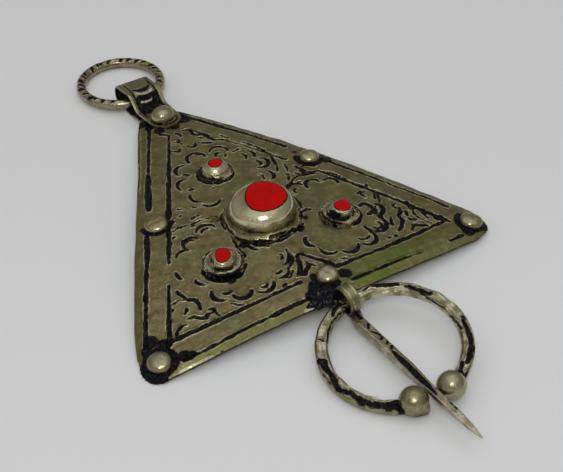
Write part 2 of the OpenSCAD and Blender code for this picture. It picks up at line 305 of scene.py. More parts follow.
class Recipe(NodeBench):
    """A material in the making: the bench, with a shader and its output."""

    def __init__(self, name: str) -> None:
        """Starts an empty material with its shader and its output."""
        self.material = bpy.data.materials.new(name)
        self.material.use_nodes = True
        super().__init__(self.material.node_tree, "Object")
        self.shader = self.tree.nodes.new("ShaderNodeBsdfPrincipled")
        output = self.tree.nodes.new("ShaderNodeOutputMaterial")
        self.tree.links.new(self.shader.outputs["BSDF"], output.inputs["Surface"])

    def wear(self, **sockets: object) -> bpy.types.Material:
        """Feeds the shader's sockets, named with underscores, and returns the material."""
        for name, value in sockets.items():
            self.feed(self.shader.inputs[name.replace("_", " ")], value)
        return self.material


# Reflection of rivets and balls, which handling has not rubbed as bright as the rest
DULL_SILVER = (0.40, 0.365, 0.245)


@dataclass(frozen=True)
class SilverFinish:
    """Old coin silver: rubbed bright on its highs, an olive film elsewhere, black in its strokes."""

    name: str
    # rubbed metal, its film and the film's brown and mossy parts, black and the painted sheen of its
    # highlights, both stains
    bright: RGB = (0.50, 0.465, 0.325)
    film: RGB = (0.238, 0.205, 0.10)
    brown: RGB = (0.18, 0.125, 0.062)
    moss: RGB = (0.175, 0.18, 0.085)
    black: RGB = (0.0016, 0.0015, 0.002)
    painted_sheen: RGB = (0.06, 0.056, 0.07)
    green: RGB = (0.135, 0.195, 0.035)
    ochre: RGB = (0.225, 0.18, 0.045)
    # shares from 0 to 1; dent, lip and crust are depths in millimetres
    rubbed: float = 0.2
    mottle: float = 0.6
    roughness: float = 0.34
    dent: float = 0.05
    ragged: float = 0.6
    lip: float = 0.13
    # how bright the lips of the strokes are painted as highlight
    lip_painted_highlight: float = 0.7
    crust: float = 0.35
    pitted: float = 0.5

    def make(self) -> bpy.types.Material:
        """Builds the node material.

        Returns:
            The material, which reads the fields ink, soot, shine and stain.
        """
        r = Recipe(self.name)
        ink, soot, shine, stain = (r.painted(n) for n in ("ink", "soot", "shine", "stain"))
        cloud = r.noise(6.0, 4.0, 0.6)
        patchy = r.noise(2.2, 4.0, 0.65)
        fine = r.noise(0.7, 4.0, 0.6)
        grit = r.noise(0.22, 2.0, 0.6)
        shake = r.sway(fine, self.ragged, ink)
        line = r.spread(shake, 0.10, -0.05)
        lip = r.maths("MULTIPLY", r.spread(shake, 0.06, 0.20), r.spread(shake, 0.55, 0.28))
        # Painted highlight along the lips of the strokes, in the rubbed metal's colour
        painted_highlight = r.maths("MULTIPLY", lip, r.spread(patchy, 0.33, 0.57, 0.0, self.lip_painted_highlight))
        scorch = r.sway(patchy, 1.3, soot)
        scorch = r.sway(fine, 1.0, scorch)
        scorch = r.sway(grit, 0.5, scorch)
        patch = r.spread(scorch, 0.44, 0.62)
        smoke = r.spread(scorch, 0.10, 0.60, 0.0, 0.6)
        black = r.maths("MAXIMUM", line, patch)
        film = r.mix(r.spread(cloud, 0.42, 0.64, 0.0, self.mottle), self.film, self.brown)
        film = r.mix(r.spread(r.noise(10.0, 5.0, 0.6), 0.48, 0.66, 0.0, self.mottle), film, self.moss)
        pale = tuple(c * 1.5 for c in self.film)
        film = r.mix(r.spread(patchy, 0.42, 0.72, 0.0, self.mottle), film, pale)
        worn = r.sway(fine, 0.9, shine)
        worn = r.maths("MAXIMUM", r.spread(worn, 0.55 - self.rubbed, 1.1 - self.rubbed), painted_highlight)
        metal = r.mix(worn, film, self.bright)
        pits = r.spread(r.noise(0.5, 3.0, 0.7), 0.58, 0.68)
        dark = tuple(c * 0.25 for c in self.brown)
        metal = r.mix(r.maths("MULTIPLY", pits, self.pitted), metal, dark)
        stained = r.mix(r.spread(patchy, 0.30, 0.54), self.ochre, self.green)
        metal = r.mix(r.maths("MULTIPLY", stain, r.spread(cloud, 0.25, 0.55, 0.4, 1.0)), metal, stained)
        dimmed = r.mix(smoke, metal, self.brown)
        # Painted highlights: small flecks of the black take the lighter sheen colour
        painted_glint = r.maths("MULTIPLY", r.spread(grit, 0.46, 0.66), r.spread(fine, 0.44, 0.64))
        colour = r.mix(black, dimmed, r.mix(painted_glint, self.black, self.painted_sheen))
        rough = r.spread(grit, 0.2, 0.8, self.roughness - 0.06, self.roughness + 0.08)
        rough = r.maths("MULTIPLY_ADD", worn, -0.08, rough)
        rough = r.maths("MULTIPLY_ADD", black, r.maths("SUBTRACT", 0.30, rough), rough)
        relief = r.bump(r.noise(3.4, 2.0), self.dent * 2.2)
        relief = r.bump(fine, self.dent, relief)
        relief = r.bump(r.maths("MULTIPLY", pits, -1.0), 0.08 * self.pitted, relief)
        relief = r.bump(grit, self.dent * 0.22, relief)
        relief = r.bump(r.maths("MULTIPLY", patch, r.maths("ADD", fine, patchy)), self.crust, relief)
        relief = r.bump(lip, self.lip, relief)
        relief = r.bump(r.spread(shake, 0.22, -0.15, 1.0, 0.0), self.lip * 1.6, relief)
        return r.wear(
            Base_Color=colour, Metallic=r.spread(black, 0.2, 0.9, 1.0, 0.0), Roughness=rough, Normal=relief,
            Specular_IOR_Level=0.08,
        )


@dataclass(frozen=True)
class StoneFinish:
    """Smooth red paste, a little uneven, darker where it meets the metal."""

    name: str = "red_paste"
    red: RGB = (0.56, 0.002, 0.0012)
    deep: RGB = (0.47, 0.0018, 0.001)
    rim: RGB = (0.035, 0.006, 0.005)

    def make(self) -> bpy.types.Material:
        """Builds the node material.

        Returns:
            The material, which reads the field soot.
        """
        r = Recipe(self.name)
        soot = r.painted("soot")
        cloud = r.noise(2.4, 3.0)
        grit = r.noise(0.5, 3.0)
        colour = r.mix(r.spread(cloud, 0.35, 0.7), self.red, self.deep)
        edge = r.spread(r.sway(grit, 0.6, soot), 0.45, 0.75)
        colour = r.mix(edge, colour, self.rim)
        rough = r.spread(grit, 0.25, 0.75, 0.30, 0.42)
        relief = r.bump(grit, 0.02, r.bump(cloud, 0.10))
        return r.wear(Base_Color=colour, Roughness=rough, Normal=relief, Specular_IOR_Level=0.06)


@dataclass(frozen=True)
class PaleFloorFinish:
    """Matt pale surface that the brooch lies on."""

    name: str = "pale_floor"
    light: RGB = (0.875, 0.885, 0.90)
    shade: RGB = (0.855, 0.87, 0.89)

    def make(self) -> bpy.types.Material:
        """Builds the node material."""
        r = Recipe(self.name)
        colour = r.mix(r.noise(120.0, 2.0), self.light, self.shade)
        return r.wear(Base_Color=colour, Roughness=r.spread(r.noise(3.0), 0.3, 0.7, 0.55, 0.65))


@dataclass(frozen=True)
class Crown:
    """Crowned upper surface of the plate, in plate millimetres."""

    across: float = 250.0
    along: float = 500.0
    top: float = 6.255
    middle_y: float = 79.0 / 3
    drawn_right: float = 0.6
    drawn_left: float = 0.45
    raised: float = 0.7

    def drawn(self, x: np.ndarray, y: np.ndarray) -> np.ndarray:
        """Second coordinate of a place of the sheet, whose lower corners are drawn towards the apex."""
        return y + np.square(x / 43.0) * np.where(x > 0, self.drawn_right, self.drawn_left)

    def height(self, x: np.ndarray, y: np.ndarray) -> np.ndarray:
        """Height of the surface at x, y."""
        tube = self.along - self.across + np.sqrt(self.across**2 - np.square(x))
        sprung = self.raised * soft_step(x, 22.0, 46.0) * soft_step(y, 30.0, 0.0)
        return self.top - self.along + np.sqrt(tube**2 - np.square(y - self.middle_y)) + sprung

    def stand(self, x: float, y: float) -> Matrix:
        """Place and turn of a piece that stands on the surface at x, y."""
        y = float(self.drawn(np.float64(x), np.float64(y)))
        lean = Matrix.Rotation(math.asin(x / self.across), 4, "Y")
        tip = Matrix.Rotation(-math.asin((y - self.middle_y) / self.along), 4, "X")
        return Matrix.Translation((x, y, float(self.height(x, y)))) @ lean @ tip


class Workpiece:
    """Mesh on the bench, in millimetres, with one value a point for each painted field."""

    def __init__(self, name: str, blank: bmesh.types.BMesh) -> None:
        """Takes the blank's mesh and reads its points."""
        self.name = name
        self.mesh = bpy.data.meshes.new(name)
        bmesh.ops.recalc_face_normals(blank, faces=blank.faces[:])
        blank.to_mesh(self.mesh)
        blank.free()
        flat = np.empty(len(self.mesh.vertices) * 3, np.float32)
        self.mesh.vertices.foreach_get("co", flat)
        self.places = flat.astype(float).reshape(-1, 3)
        self.ink = np.full(len(self.places), NO_INK)
        self.soot, self.shine, self.stain = np.zeros((3, len(self.places)))

    def stand(self, matrix: Matrix) -> None:
        """Moves the points by a matrix."""
        m = np.array(matrix)
        self.places = self.places @ m[:3, :3].T + m[:3, 3]

    def finish(
        self, body: Body, slot: Slot, material: bpy.types.Material, nodes: Sequence[str],
        sharp: float = 38.0,
    ) -> None:
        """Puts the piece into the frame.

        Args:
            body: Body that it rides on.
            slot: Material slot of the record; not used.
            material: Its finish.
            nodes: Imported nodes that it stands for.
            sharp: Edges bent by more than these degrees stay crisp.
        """
        inside = (self.places - (0, SHIFT_Y, 0)) * MM
        self.mesh.vertices.foreach_set("co", inside.astype(np.float32).ravel())
        self.mesh.polygons.foreach_set("use_smooth", [True] * len(self.mesh.polygons))
        self.mesh.set_sharp_from_angle(angle=math.radians(sharp))
        painted = {"ink": self.ink, "soot": self.soot, "shine": self.shine, "stain": self.stain}
        for name, values in painted.items():
            kept = self.mesh.attributes.new(name, "FLOAT", "POINT")
            kept.data.foreach_set("value", values.astype(np.float32))
        self.mesh.materials.append(material)
        self.mesh.update()
        piece = bpy.data.objects.new(self.name, self.mesh)
        bpy.context.scene.collection.objects.link(piece)
        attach(piece, body.value)
        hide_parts(*nodes)
        log.info("%s: %d faces", self.name, len(self.mesh.polygons))


def turned_blank(profile: Sequence[Row], steps: int) -> bmesh.types.BMesh:
    """Turns a profile about Z.

    Args:
        profile: Radius and height of each point, from axis to axis.
        steps: Segments round the axis.

    Returns:
        The closed blank.
    """
    blank = bmesh.new()
    points = [blank.verts.new((radius, 0, height)) for radius, height in profile]
    edges = [blank.edges.new(pair) for pair in zip(points, points[1:])]
    bmesh.ops.spin(
        blank, geom=points + edges, cent=(0, 0, 0), axis=(0, 0, 1), angle=2 * math.pi, steps=steps,
        use_merge=True, use_duplicate=False,
    )
    bmesh.ops.remove_doubles(blank, verts=blank.verts[:], dist=1e-4)
    return blank


def arc_rows(middle: Row, radius: float, start: float, end: float, steps: int) -> list[Row]:
    """Points of a profile's arc from one angle to another, in degrees."""
    angles = [math.radians(start + (end - start) * i / steps) for i in range(steps + 1)]
    return [(middle[0] + radius * math.cos(a), middle[1] + radius * math.sin(a)) for a in angles]


def swept_tube(section: Sequence[Row], angle: float, steps: int, closed: bool) -> bmesh.types.BMesh:
    """Turns a closed section about Z into a ring or a part of one.

    Args:
        section: Radius and height of each point of the section.
        angle: Angle of the turn, in degrees.
        steps: Segments along the turn.
        closed: Whether the ring is a full one.

    Returns:
        The closed blank, which starts on the X axis.
    """
    blank = bmesh.new()
    points = [blank.verts.new((radius, 0, height)) for radius, height in section]
    edges = [blank.edges.new((points[i - 1], points[i])) for i in range(len(points))]
    bmesh.ops.spin(
        blank, geom=points + edges, cent=(0, 0, 0), axis=(0, 0, 1), angle=math.radians(angle),
        steps=steps, use_merge=closed, use_duplicate=False,
    )
    bmesh.ops.remove_doubles(blank, verts=blank.verts[:], dist=1e-5)
    if not closed:
        bmesh.ops.holes_fill(blank, edges=[e for e in blank.edges if e.is_boundary], sides=0)
    return blank


def cut_sheet(
    size: Row, middle: Row, pitch: float, cuts: Iterable[tuple[Vector, Vector]], thickness: float
) -> bmesh.types.BMesh:
    """Cuts a flat sheet out of an evenly divided oblong.

    Args:
        size: Width and length of the oblong.
        middle: Its middle.
        pitch: Distance between its dividing lines.
        cuts: A point of each cutting line and the direction that is cut away.
        thickness: Thickness, below z = 0.

    Returns:
        The closed blank.
    """
    width, length = size
    blank = bmesh.new()
    bmesh.ops.create_grid(blank, x_segments=int(width / pitch), y_segments=int(length / pitch), size=0.5)
    place = Matrix.Translation((*middle, 0)) @ Matrix.Diagonal((width, length, 1, 1))
    bmesh.ops.transform(blank, matrix=place, verts=blank.verts[:])
    for point, normal in cuts:
        bmesh.ops.bisect_plane(
            blank, geom=blank.verts[:] + blank.edges[:] + blank.faces[:], dist=pitch * 0.06,
            plane_co=(*point, 0), plane_no=(*normal, 0), clear_outer=True,
        )
    bmesh.ops.recalc_face_normals(blank, faces=blank.faces[:])
    if blank.faces[:][0].normal.z < 0:
        bmesh.ops.reverse_faces(blank, faces=blank.faces[:])
    bmesh.ops.solidify(blank, geom=blank.faces[:], thickness=thickness)
    return blank


def divided(section: Sequence[Row], cuts: int) -> list[Row]:
    """Closed section with each side cut into equal parts."""
    rows = []
    for (x0, y0), (x1, y1) in zip(section, [*section[1:], section[0]]):
        rows += [(x0 + (x1 - x0) * i / cuts, y0 + (y1 - y0) * i / cuts) for i in range(cuts)]
    return rows


# Black lines along the sides. The rows of a run are the share of the way between two corner rivets,
# the half width, and the shift towards the field
LINE_RUNS: dict[tuple[Side, Line], tuple[tuple[Row, ...], ...]] = {
    (Side.LEFT, Line.OUTER): (
        ((0.05, 0.45, 0), (0.13, 0.35, 0), (0.25, 0.33, 0), (0.32, 0.35, 0.1), (0.37, 0.6, 0.2),
         (0.40, 0.5, 0.1), (0.44, 0.35, 0)),
        ((0.545, 0.55, 0.3), (0.60, 0.72, 0.2), (0.65, 0.6, 0.1), (0.685, 0.5, 0), (0.71, 0.25, 0),
         (0.78, 0.22, 0), (0.86, 0.25, 0), (0.93, 0.42, 0), (0.97, 0.6, 0)),
    ),
    (Side.LEFT, Line.INNER): (
        ((0.05, 0.5, 0.1), (0.12, 0.42, 0), (0.18, 0.25, 0), (0.245, 0.2, 0)),
        ((0.325, 0.15, 0), (0.35, 0.25, 0), (0.37, 0.4, 0), (0.42, 0.35, 0), (0.45, 0.35, 0)),
        ((0.50, 0.55, -0.2), (0.545, 0.5, 0), (0.60, 0.42, 0), (0.66, 0.4, 0), (0.72, 0.38, 0),
         (0.77, 0.28, 0), (0.84, 0.18, 0), (0.89, 0.16, 0)),
    ),
    (Side.RIGHT, Line.OUTER): (
        ((0.04, 0.6, 0), (0.11, 0.45, 0), (0.18, 0.6, 0.1), (0.24, 0.4, 0), (0.30, 0.34, 0),
         (0.37, 0.4, 0), (0.405, 0.6, 0.1)),
        ((0.555, 0.5, 0.1), (0.62, 0.34, 0), (0.72, 0.28, 0), (0.81, 0.28, 0), (0.87, 0.3, 0),
         (0.92, 0.34, 0.2)),
    ),
    (Side.RIGHT, Line.INNER): (
        ((0.11, 0.18, 0), (0.165, 0.18, 0), (0.19, 0.1, 0)),
        ((0.23, 0.1, 0), (0.265, 0.14, 0), (0.37, 0.2, 0), (0.44, 0.3, 0)),
        ((0.545, 0.35, 0), (0.62, 0.34, 0), (0.67, 0.48, 0.1), (0.72, 0.38, 0), (0.785, 0.36, 0),
         (0.835, 0.48, 0), (0.87, 0.5, 0.1), (0.925, 0.52, 0.2), (0.95, 0.3, 0.2)),
    ),
    (Side.LOWER, Line.OUTER): (
        ((0.053, 0.4, 0.2), (0.10, 0.3, 0)),
        ((0.206, 0.14, 0), (0.265, 0.2, 0), (0.30, 0.28, 0), (0.382, 0.3, 0), (0.435, 0.3, 0)),
        ((0.57, 0.3, 0), (0.594, 0.36, 0), (0.64, 0.42, 0), (0.735, 0.3, 0), (0.853, 0.33, 0),
         (0.947, 0.3, 0)),
    ),
    (Side.LOWER, Line.INNER): (
        ((0.053, 0.24, 1.3), (0.124, 0.34, 0.8), (0.17, 0.45, 0.5), (0.24, 0.45, 0.2), (0.29, 0.3, 0),
         (0.382, 0.34, 0), (0.44, 0.5, 0)),
        ((0.56, 0.45, 0), (0.618, 0.32, 0), (0.735, 0.4, 0.1), (0.853, 0.45, 0.6), (0.947, 0.5, 1.2)),
    ),
}
# Crescents of the three rosettes: middle x, y, radius, start, sweep and half width
CRESCENTS: tuple[Row, ...] = (
    # upper rosette
    (-2.1, 55.7, 2.5, -10, 205, 0.42), (-1.6, 55.9, 1.3, 25, 60, 0.30), (4.1, 55.2, 2.4, -30, 180, 0.36),
    (3.7, 53.5, 1.35, 60, 120, 0.22), (3.7, 53.3, 1.3, -60, 75, 0.22), (8.2, 50.1, 3.0, -38, 73, 0.34),
    (7.0, 50.1, 1.9, -50, 100, 0.22), (10.3, 45.3, 2.3, -130, 190, 0.42), (9.0, 45.6, 1.6, -50, 95, 0.30),
    (8.2, 39.8, 2.5, -75, 120, 0.30), (6.4, 39.8, 1.7, -50, 100, 0.25), (-7.1, 52.8, 2.4, 60, 145, 0.38),
    (-9.4, 47.2, 2.5, 60, 145, 0.33), (-8.9, 41.7, 2.5, 130, 125, 0.33), (-7.7, 38.7, 2.4, 190, 135, 0.42),
    # left rosette
    (-14.3, 29.0, 2.4, 0, 150, 0.42), (-14.3, 28.6, 1.3, 60, 100, 0.22), (-19.2, 27.3, 2.1, 20, 185, 0.40),
    (-19.3, 27.8, 0.8, 0, 150, 0.22), (-22.4, 24.1, 2.3, 45, 105, 0.36), (-24.4, 19.7, 2.8, 150, 62, 0.36),
    (-22.6, 15.6, 2.0, 165, 85, 0.34), (-21.4, 9.3, 2.4, 130, 135, 0.40),
    (-20.2, 9.8, 1.5, 200, 110, 0.26), (-17.6, 7.1, 2.2, 175, 165, 0.50),
    (-12.4, 6.2, 2.4, 210, 145, 0.42), (-12.4, 6.6, 1.2, 220, 100, 0.24), (-7.2, 8.0, 2.4, 240, 115, 0.38),
    (-7.6, 8.5, 1.2, 230, 100, 0.26), (-5.0, 11.8, 2.7, 270, 105, 0.40), (-5.4, 12.2, 1.5, 290, 90, 0.30),
    # right rosette
    (12.1, 30.9, 2.4, 20, 165, 0.38), (12.5, 30.0, 1.2, 90, 100, 0.22), (16.9, 30.5, 2.0, 10, 185, 0.38),
    (20.9, 28.9, 2.0, -30, 140, 0.38), (25.3, 20.3, 2.0, 50, 70, 0.26), (16.6, 7.2, 2.5, 215, 175, 0.44),
    (16.4, 8.4, 1.6, 200, 130, 0.30), (11.3, 7.0, 2.4, 205, 135, 0.46), (7.1, 8.6, 2.3, 165, 125, 0.40),
    (5.4, 12.4, 2.2, 120, 120, 0.58),
    # scorched edge of each setting's solder
    (-1.2, 47.6, 4.6, 120, 215, 0.34), (-1.2, 47.6, 4.5, -25, 80, 0.16),
    (-16.8, 16.7, 5.1, 165, 165, 0.60), (-16.8, 16.7, 5.0, 60, 60, 0.20),
    (15.6, 17.1, 5.0, 280, 110, 0.50), (15.6, 17.1, 4.9, 60, 80, 0.20), (-0.8, 26.0, 9.5, 195, 100, 0.30),
    (-0.8, 26.0, 9.5, 300, 50, 0.14), (-0.8, 26.0, 9.6, 130, 45, 0.20),
)
# Free strokes: corner scrolls, spandrels, long arcs and punch marks, as x, y, half width
SCROLLS: tuple[tuple[Row, ...], ...] = (
    # apex corner
    ((-4.3, 71.0, 0.4), (-3.0, 69.8, 0.3)),
    ((-0.8, 69.3, 0.2), (-0.1, 68.6, 0.3), (-0.3, 67.2, 0.2)),
    ((-3.0, 65.6, 0.22), (-2.2, 65.1, 0.28), (-1.5, 66.3, 0.15)),
    ((-2.0, 64.2, 0.25), (-1.9, 63.9, 0.22)),
    ((-5.7, 62.6, 0.15), (-4.8, 61.6, 0.28), (-4.2, 61.2, 0.3), (-3.2, 62.2, 0.18)),
    ((-1.2, 62.3, 0.18), (-0.8, 61.1, 0.28), (0.0, 60.9, 0.3), (0.8, 61.4, 0.28), (1.2, 62.3, 0.18)),
    ((1.9, 61.8, 0.2), (3.0, 61.0, 0.36), (4.5, 60.1, 0.3)),
    ((1.3, 69.6, 0.2), (2.8, 69.0, 0.35), (3.0, 67.8, 0.3), (2.7, 66.3, 0.38), (3.3, 65.3, 0.35),
     (4.6, 65.0, 0.35), (5.3, 63.8, 0.36), (5.3, 62.0, 0.28), (6.2, 60.7, 0.3), (8.0, 59.4, 0.3)),
    ((3.2, 63.7, 0.35), (4.1, 63.1, 0.28)),
    ((8.2, 61.6, 0.12), (9.4, 59.4, 0.16)),
    # long arcs that tie the rosettes together
    ((11.4, 55.8, 0.1), (13.4, 51.6, 0.18), (14.1, 49.3, 0.15), (14.2, 46.0, 0.15), (13.4, 42.0, 0.18),
     (12.2, 39.7, 0.15)),
    ((13.4, 37.8, 0.15), (13.5, 36.4, 0.2), (12.6, 35.2, 0.12)),
    ((7.2, 53.1, 0.15), (9.0, 53.5, 0.2)),
    ((-8.0, 51.4, 0.18), (-7.0, 50.5, 0.2)),
    ((-10.0, 45.1, 0.2), (-9.0, 44.9, 0.25)),
    ((10.0, 29.0, 0.12), (9.9, 26.0, 0.14), (9.3, 24.0, 0.12)),
    # upper right spandrel
    ((17.2, 39.2, 0.35), (18.6, 36.4, 0.15)),
    ((15.6, 36.8, 0.18), (16.8, 35.0, 0.25), (19.6, 34.4, 0.18)),
    ((17.4, 36.9, 0.4), (17.9, 36.2, 0.3)),
    # right corner
    ((25.0, 22.2, 0.25), (25.5, 20.1, 0.2)),
    ((28.1, 20.5, 0.2), (27.2, 18.5, 0.16)),
    ((22.3, 17.9, 0.42), (23.4, 18.2, 0.48), (24.2, 17.4, 0.45), (24.5, 16.0, 0.4), (24.0, 14.9, 0.4),
     (22.3, 14.2, 0.45)),
    ((26.0, 16.8, 0.3), (26.8, 15.5, 0.45), (26.6, 14.0, 0.5), (25.3, 12.8, 0.5), (24.0, 12.2, 0.4),
     (24.1, 10.5, 0.38), (24.0, 9.0, 0.42), (23.0, 8.0, 0.48), (21.5, 7.3, 0.45), (20.2, 7.9, 0.3)),
    ((25.2, 15.8, 0.2), (24.6, 14.5, 0.3), (23.8, 13.6, 0.3)),
    ((20.5, 9.5, 0.2), (21.0, 8.7, 0.28), (22.0, 8.6, 0.28), (22.9, 9.2, 0.25), (22.4, 10.9, 0.2)),
    ((26.4, 11.0, 0.16), (24.8, 8.0, 0.2)),
    ((30.4, 12.9, 0.25), (29.8, 11.4, 0.4), (28.2, 10.2, 0.38), (28.2, 8.2, 0.42), (26.6, 6.6, 0.4),
     (25.0, 5.7, 0.3)),
    ((29.5, 14.3, 0.15), (30.8, 14.7, 0.18)),
    ((29.6, 13.5, 0.22), (29.7, 13.1, 0.2)),
    ((31.0, 11.0, 0.22), (30.4, 9.6, 0.32)),
    ((33.4, 13.7, 0.3), (32.8, 12.3, 0.22), (32.4, 10.8, 0.16)),
    ((30.0, 8.4, 0.25), (30.2, 7.7, 0.38), (31.1, 7.1, 0.3)),
    ((28.1, 4.4, 0.2), (29.5, 5.8, 0.36), (30.5, 5.2, 0.32), (32.2, 4.1, 0.32)),
    ((34.2, 8.5, 0.28), (34.4, 6.2, 0.18)),
    ((36.2, 5.2, 0.7), (37.2, 5.2, 0.6)),
    ((23.2, 4.4, 0.35), (23.6, 4.5, 0.3)),
    ((21.2, 4.5, 0.16), (21.8, 4.6, 0.16)),
    ((32.3, 9.1, 0.2), (32.5, 8.8, 0.2)),
    ((19.0, 8.5, 0.34), (18.6, 10.6, 0.3)),
    # fan over the lower rivet
    ((-0.4, 10.2, 0.35), (-1.2, 9.8, 0.4), (-1.5, 8.0, 0.35), (-2.4, 6.0, 0.3), (-3.6, 4.3, 0.4)),
    ((-0.1, 10.1, 0.3), (1.2, 8.3, 0.3), (2.4, 6.6, 0.35), (4.0, 4.4, 0.45), (4.9, 2.4, 0.5)),
    ((-0.2, 7.6, 0.15), (-0.4, 6.0, 0.3), (-1.5, 5.0, 0.55), (-2.8, 4.0, 0.5)),
    ((0.4, 5.9, 0.2), (0.9, 5.2, 0.2)),
    ((-6.3, 4.8, 0.12), (-5.0, 5.8, 0.18), (-4.4, 6.4, 0.14)),
    ((-9.0, 3.3, 0.18), (-8.0, 3.5, 0.18)),
    ((7.2, 4.2, 0.14), (8.4, 3.4, 0.16)),
    # left corner
    ((-31.3, 8.5, 0.12), (-30.6, 9.2, 0.38), (-30.2, 9.7, 0.22)),
    ((-29.6, 15.6, 0.2), (-29.3, 13.3, 0.3), (-28.6, 11.6, 0.32), (-27.4, 11.0, 0.36), (-27.3, 9.6, 0.3),
     (-27.8, 7.8, 0.28)),
    ((-26.2, 6.6, 0.3), (-25.4, 6.2, 0.3), (-25.6, 5.0, 0.2), (-25.3, 3.8, 0.16)),
    ((-31.5, 6.9, 0.2), (-30.2, 6.7, 0.28), (-29.2, 5.5, 0.32), (-28.2, 4.8, 0.32), (-27.2, 5.6, 0.28),
     (-26.0, 5.3, 0.2)),
    ((-36.0, 4.2, 0.16), (-34.8, 5.4, 0.24), (-33.5, 5.9, 0.26), (-32.6, 5.6, 0.16)),
    ((-33.2, 11.2, 0.2), (-32.9, 11.4, 0.2)),
    ((-31.8, 12.8, 0.16), (-31.6, 12.6, 0.2)),
    # ragged solder beside the centre boss
    ((-10.8, 22.6, 0.16), (-11.1, 19.4, 0.26), (-11.3, 16.2, 0.16)),
    ((-9.6, 20.6, 0.3), (-8.9, 19.2, 0.2), (-8.4, 17.6, 0.28), (-7.6, 16.6, 0.14)),
    ((-7.4, 18.6, 0.2), (-6.4, 17.4, 0.3), (-4.8, 16.4, 0.2)),
    ((3.4, 17.8, 0.5), (5.2, 18.4, 0.35), (6.4, 18.9, 0.2)),
    ((8.2, 22.4, 0.2), (9.6, 22.9, 0.3), (10.8, 22.4, 0.25)),
    # thin ties and ticks between the rosettes
    ((10.6, 32.4, 0.1), (13.7, 34.9, 0.15), (17.2, 35.7, 0.12), (20.9, 34.9, 0.16), (23.6, 32.4, 0.14),
     (25.2, 28.4, 0.1)),
    ((17.1, 38.1, 0.1), (19.4, 38.6, 0.14), (21.6, 36.8, 0.1)),
    ((15.9, 44.0, 0.08), (15.0, 39.9, 0.13), (13.8, 37.0, 0.08)),
    ((28.6, 24.2, 0.16), (28.3, 23.6, 0.16)),
    ((30.2, 18.3, 0.18), (30.0, 17.7, 0.16)),
    ((29.3, 20.8, 0.1), (28.4, 18.7, 0.15), (27.3, 16.7, 0.1)),
    ((33.8, 12.3, 0.08), (32.2, 9.2, 0.13), (32.6, 6.6, 0.12), (33.8, 4.3, 0.1)),
    ((-20.7, 33.7, 0.1), (-19.0, 34.0, 0.14), (-17.2, 33.7, 0.1)),
    ((-16.1, 33.2, 0.1), (-13.7, 33.4, 0.14), (-11.7, 32.7, 0.12)),
    ((-2.1, 13.4, 0.1), (-1.8, 10.9, 0.14), (-3.2, 8.6, 0.14), (-5.2, 7.4, 0.1)),
    ((-1.3, 10.2, 0.08), (-2.5, 6.9, 0.12), (-4.5, 4.2, 0.1)),
    ((9.8, 31.5, 0.1), (12.4, 33.4, 0.14), (14.8, 32.9, 0.1)),
    ((-32.2, 12.7, 0.1), (-30.9, 13.0, 0.14), (-29.5, 12.3, 0.1)),
    ((-21.5, 5.4, 0.12), (-20.5, 4.2, 0.14), (-19.3, 3.2, 0.1)),
    ((-10.3, 24.5, 0.08), (-10.8, 20.5, 0.13), (-10.9, 16.4, 0.1)),
    # punch marks by the left edge
    ((-18.8, 33.8, 0.2), (-18.4, 33.9, 0.2)),
    ((-16.2, 32.5, 0.2), (-15.8, 32.5, 0.2)),
    ((-14.8, 35.1, 0.18), (-14.1, 35.2, 0.18)),
    ((-13.2, 35.4, 0.22), (-12.8, 35.2, 0.18)),
    ((-11.8, 33.1, 0.22), (-11.3, 32.8, 0.2)),
    ((-19.2, 36.4, 0.14), (-18.6, 36.8, 0.16)),
    ((-16.9, 37.6, 0.15), (-16.2, 37.8, 0.16)),
    ((-15.9, 40.1, 0.2), (-15.1, 39.6, 0.16)),
    ((-21.8, 31.6, 0.2), (-21.4, 31.8, 0.2)),
    ((-23.4, 30.0, 0.18), (-22.9, 30.4, 0.18)),
    ((-12.6, 38.4, 0.12), (-11.8, 38.2, 0.12)),
    ((-4.9, 42.4, 0.22), (-4.6, 42.1, 0.2)),
)
# Scorch round a rivet: middle x and y, radius, first and last degree, and the scorch's own radius
SCORCHED_RINGS: tuple[Row, ...] = (
    (43.0, 0.4, 3.4, 105, 405, 1.15), (-42.5, -0.2, 3.4, 0, 345, 1.35), (22.3, 40.8, 3.2, 150, 345, 1.1),
    (-22.9, 38.0, 3.2, 165, 345, 1.0), (1.2, 0.8, 3.1, 150, 285, 1.3),
)
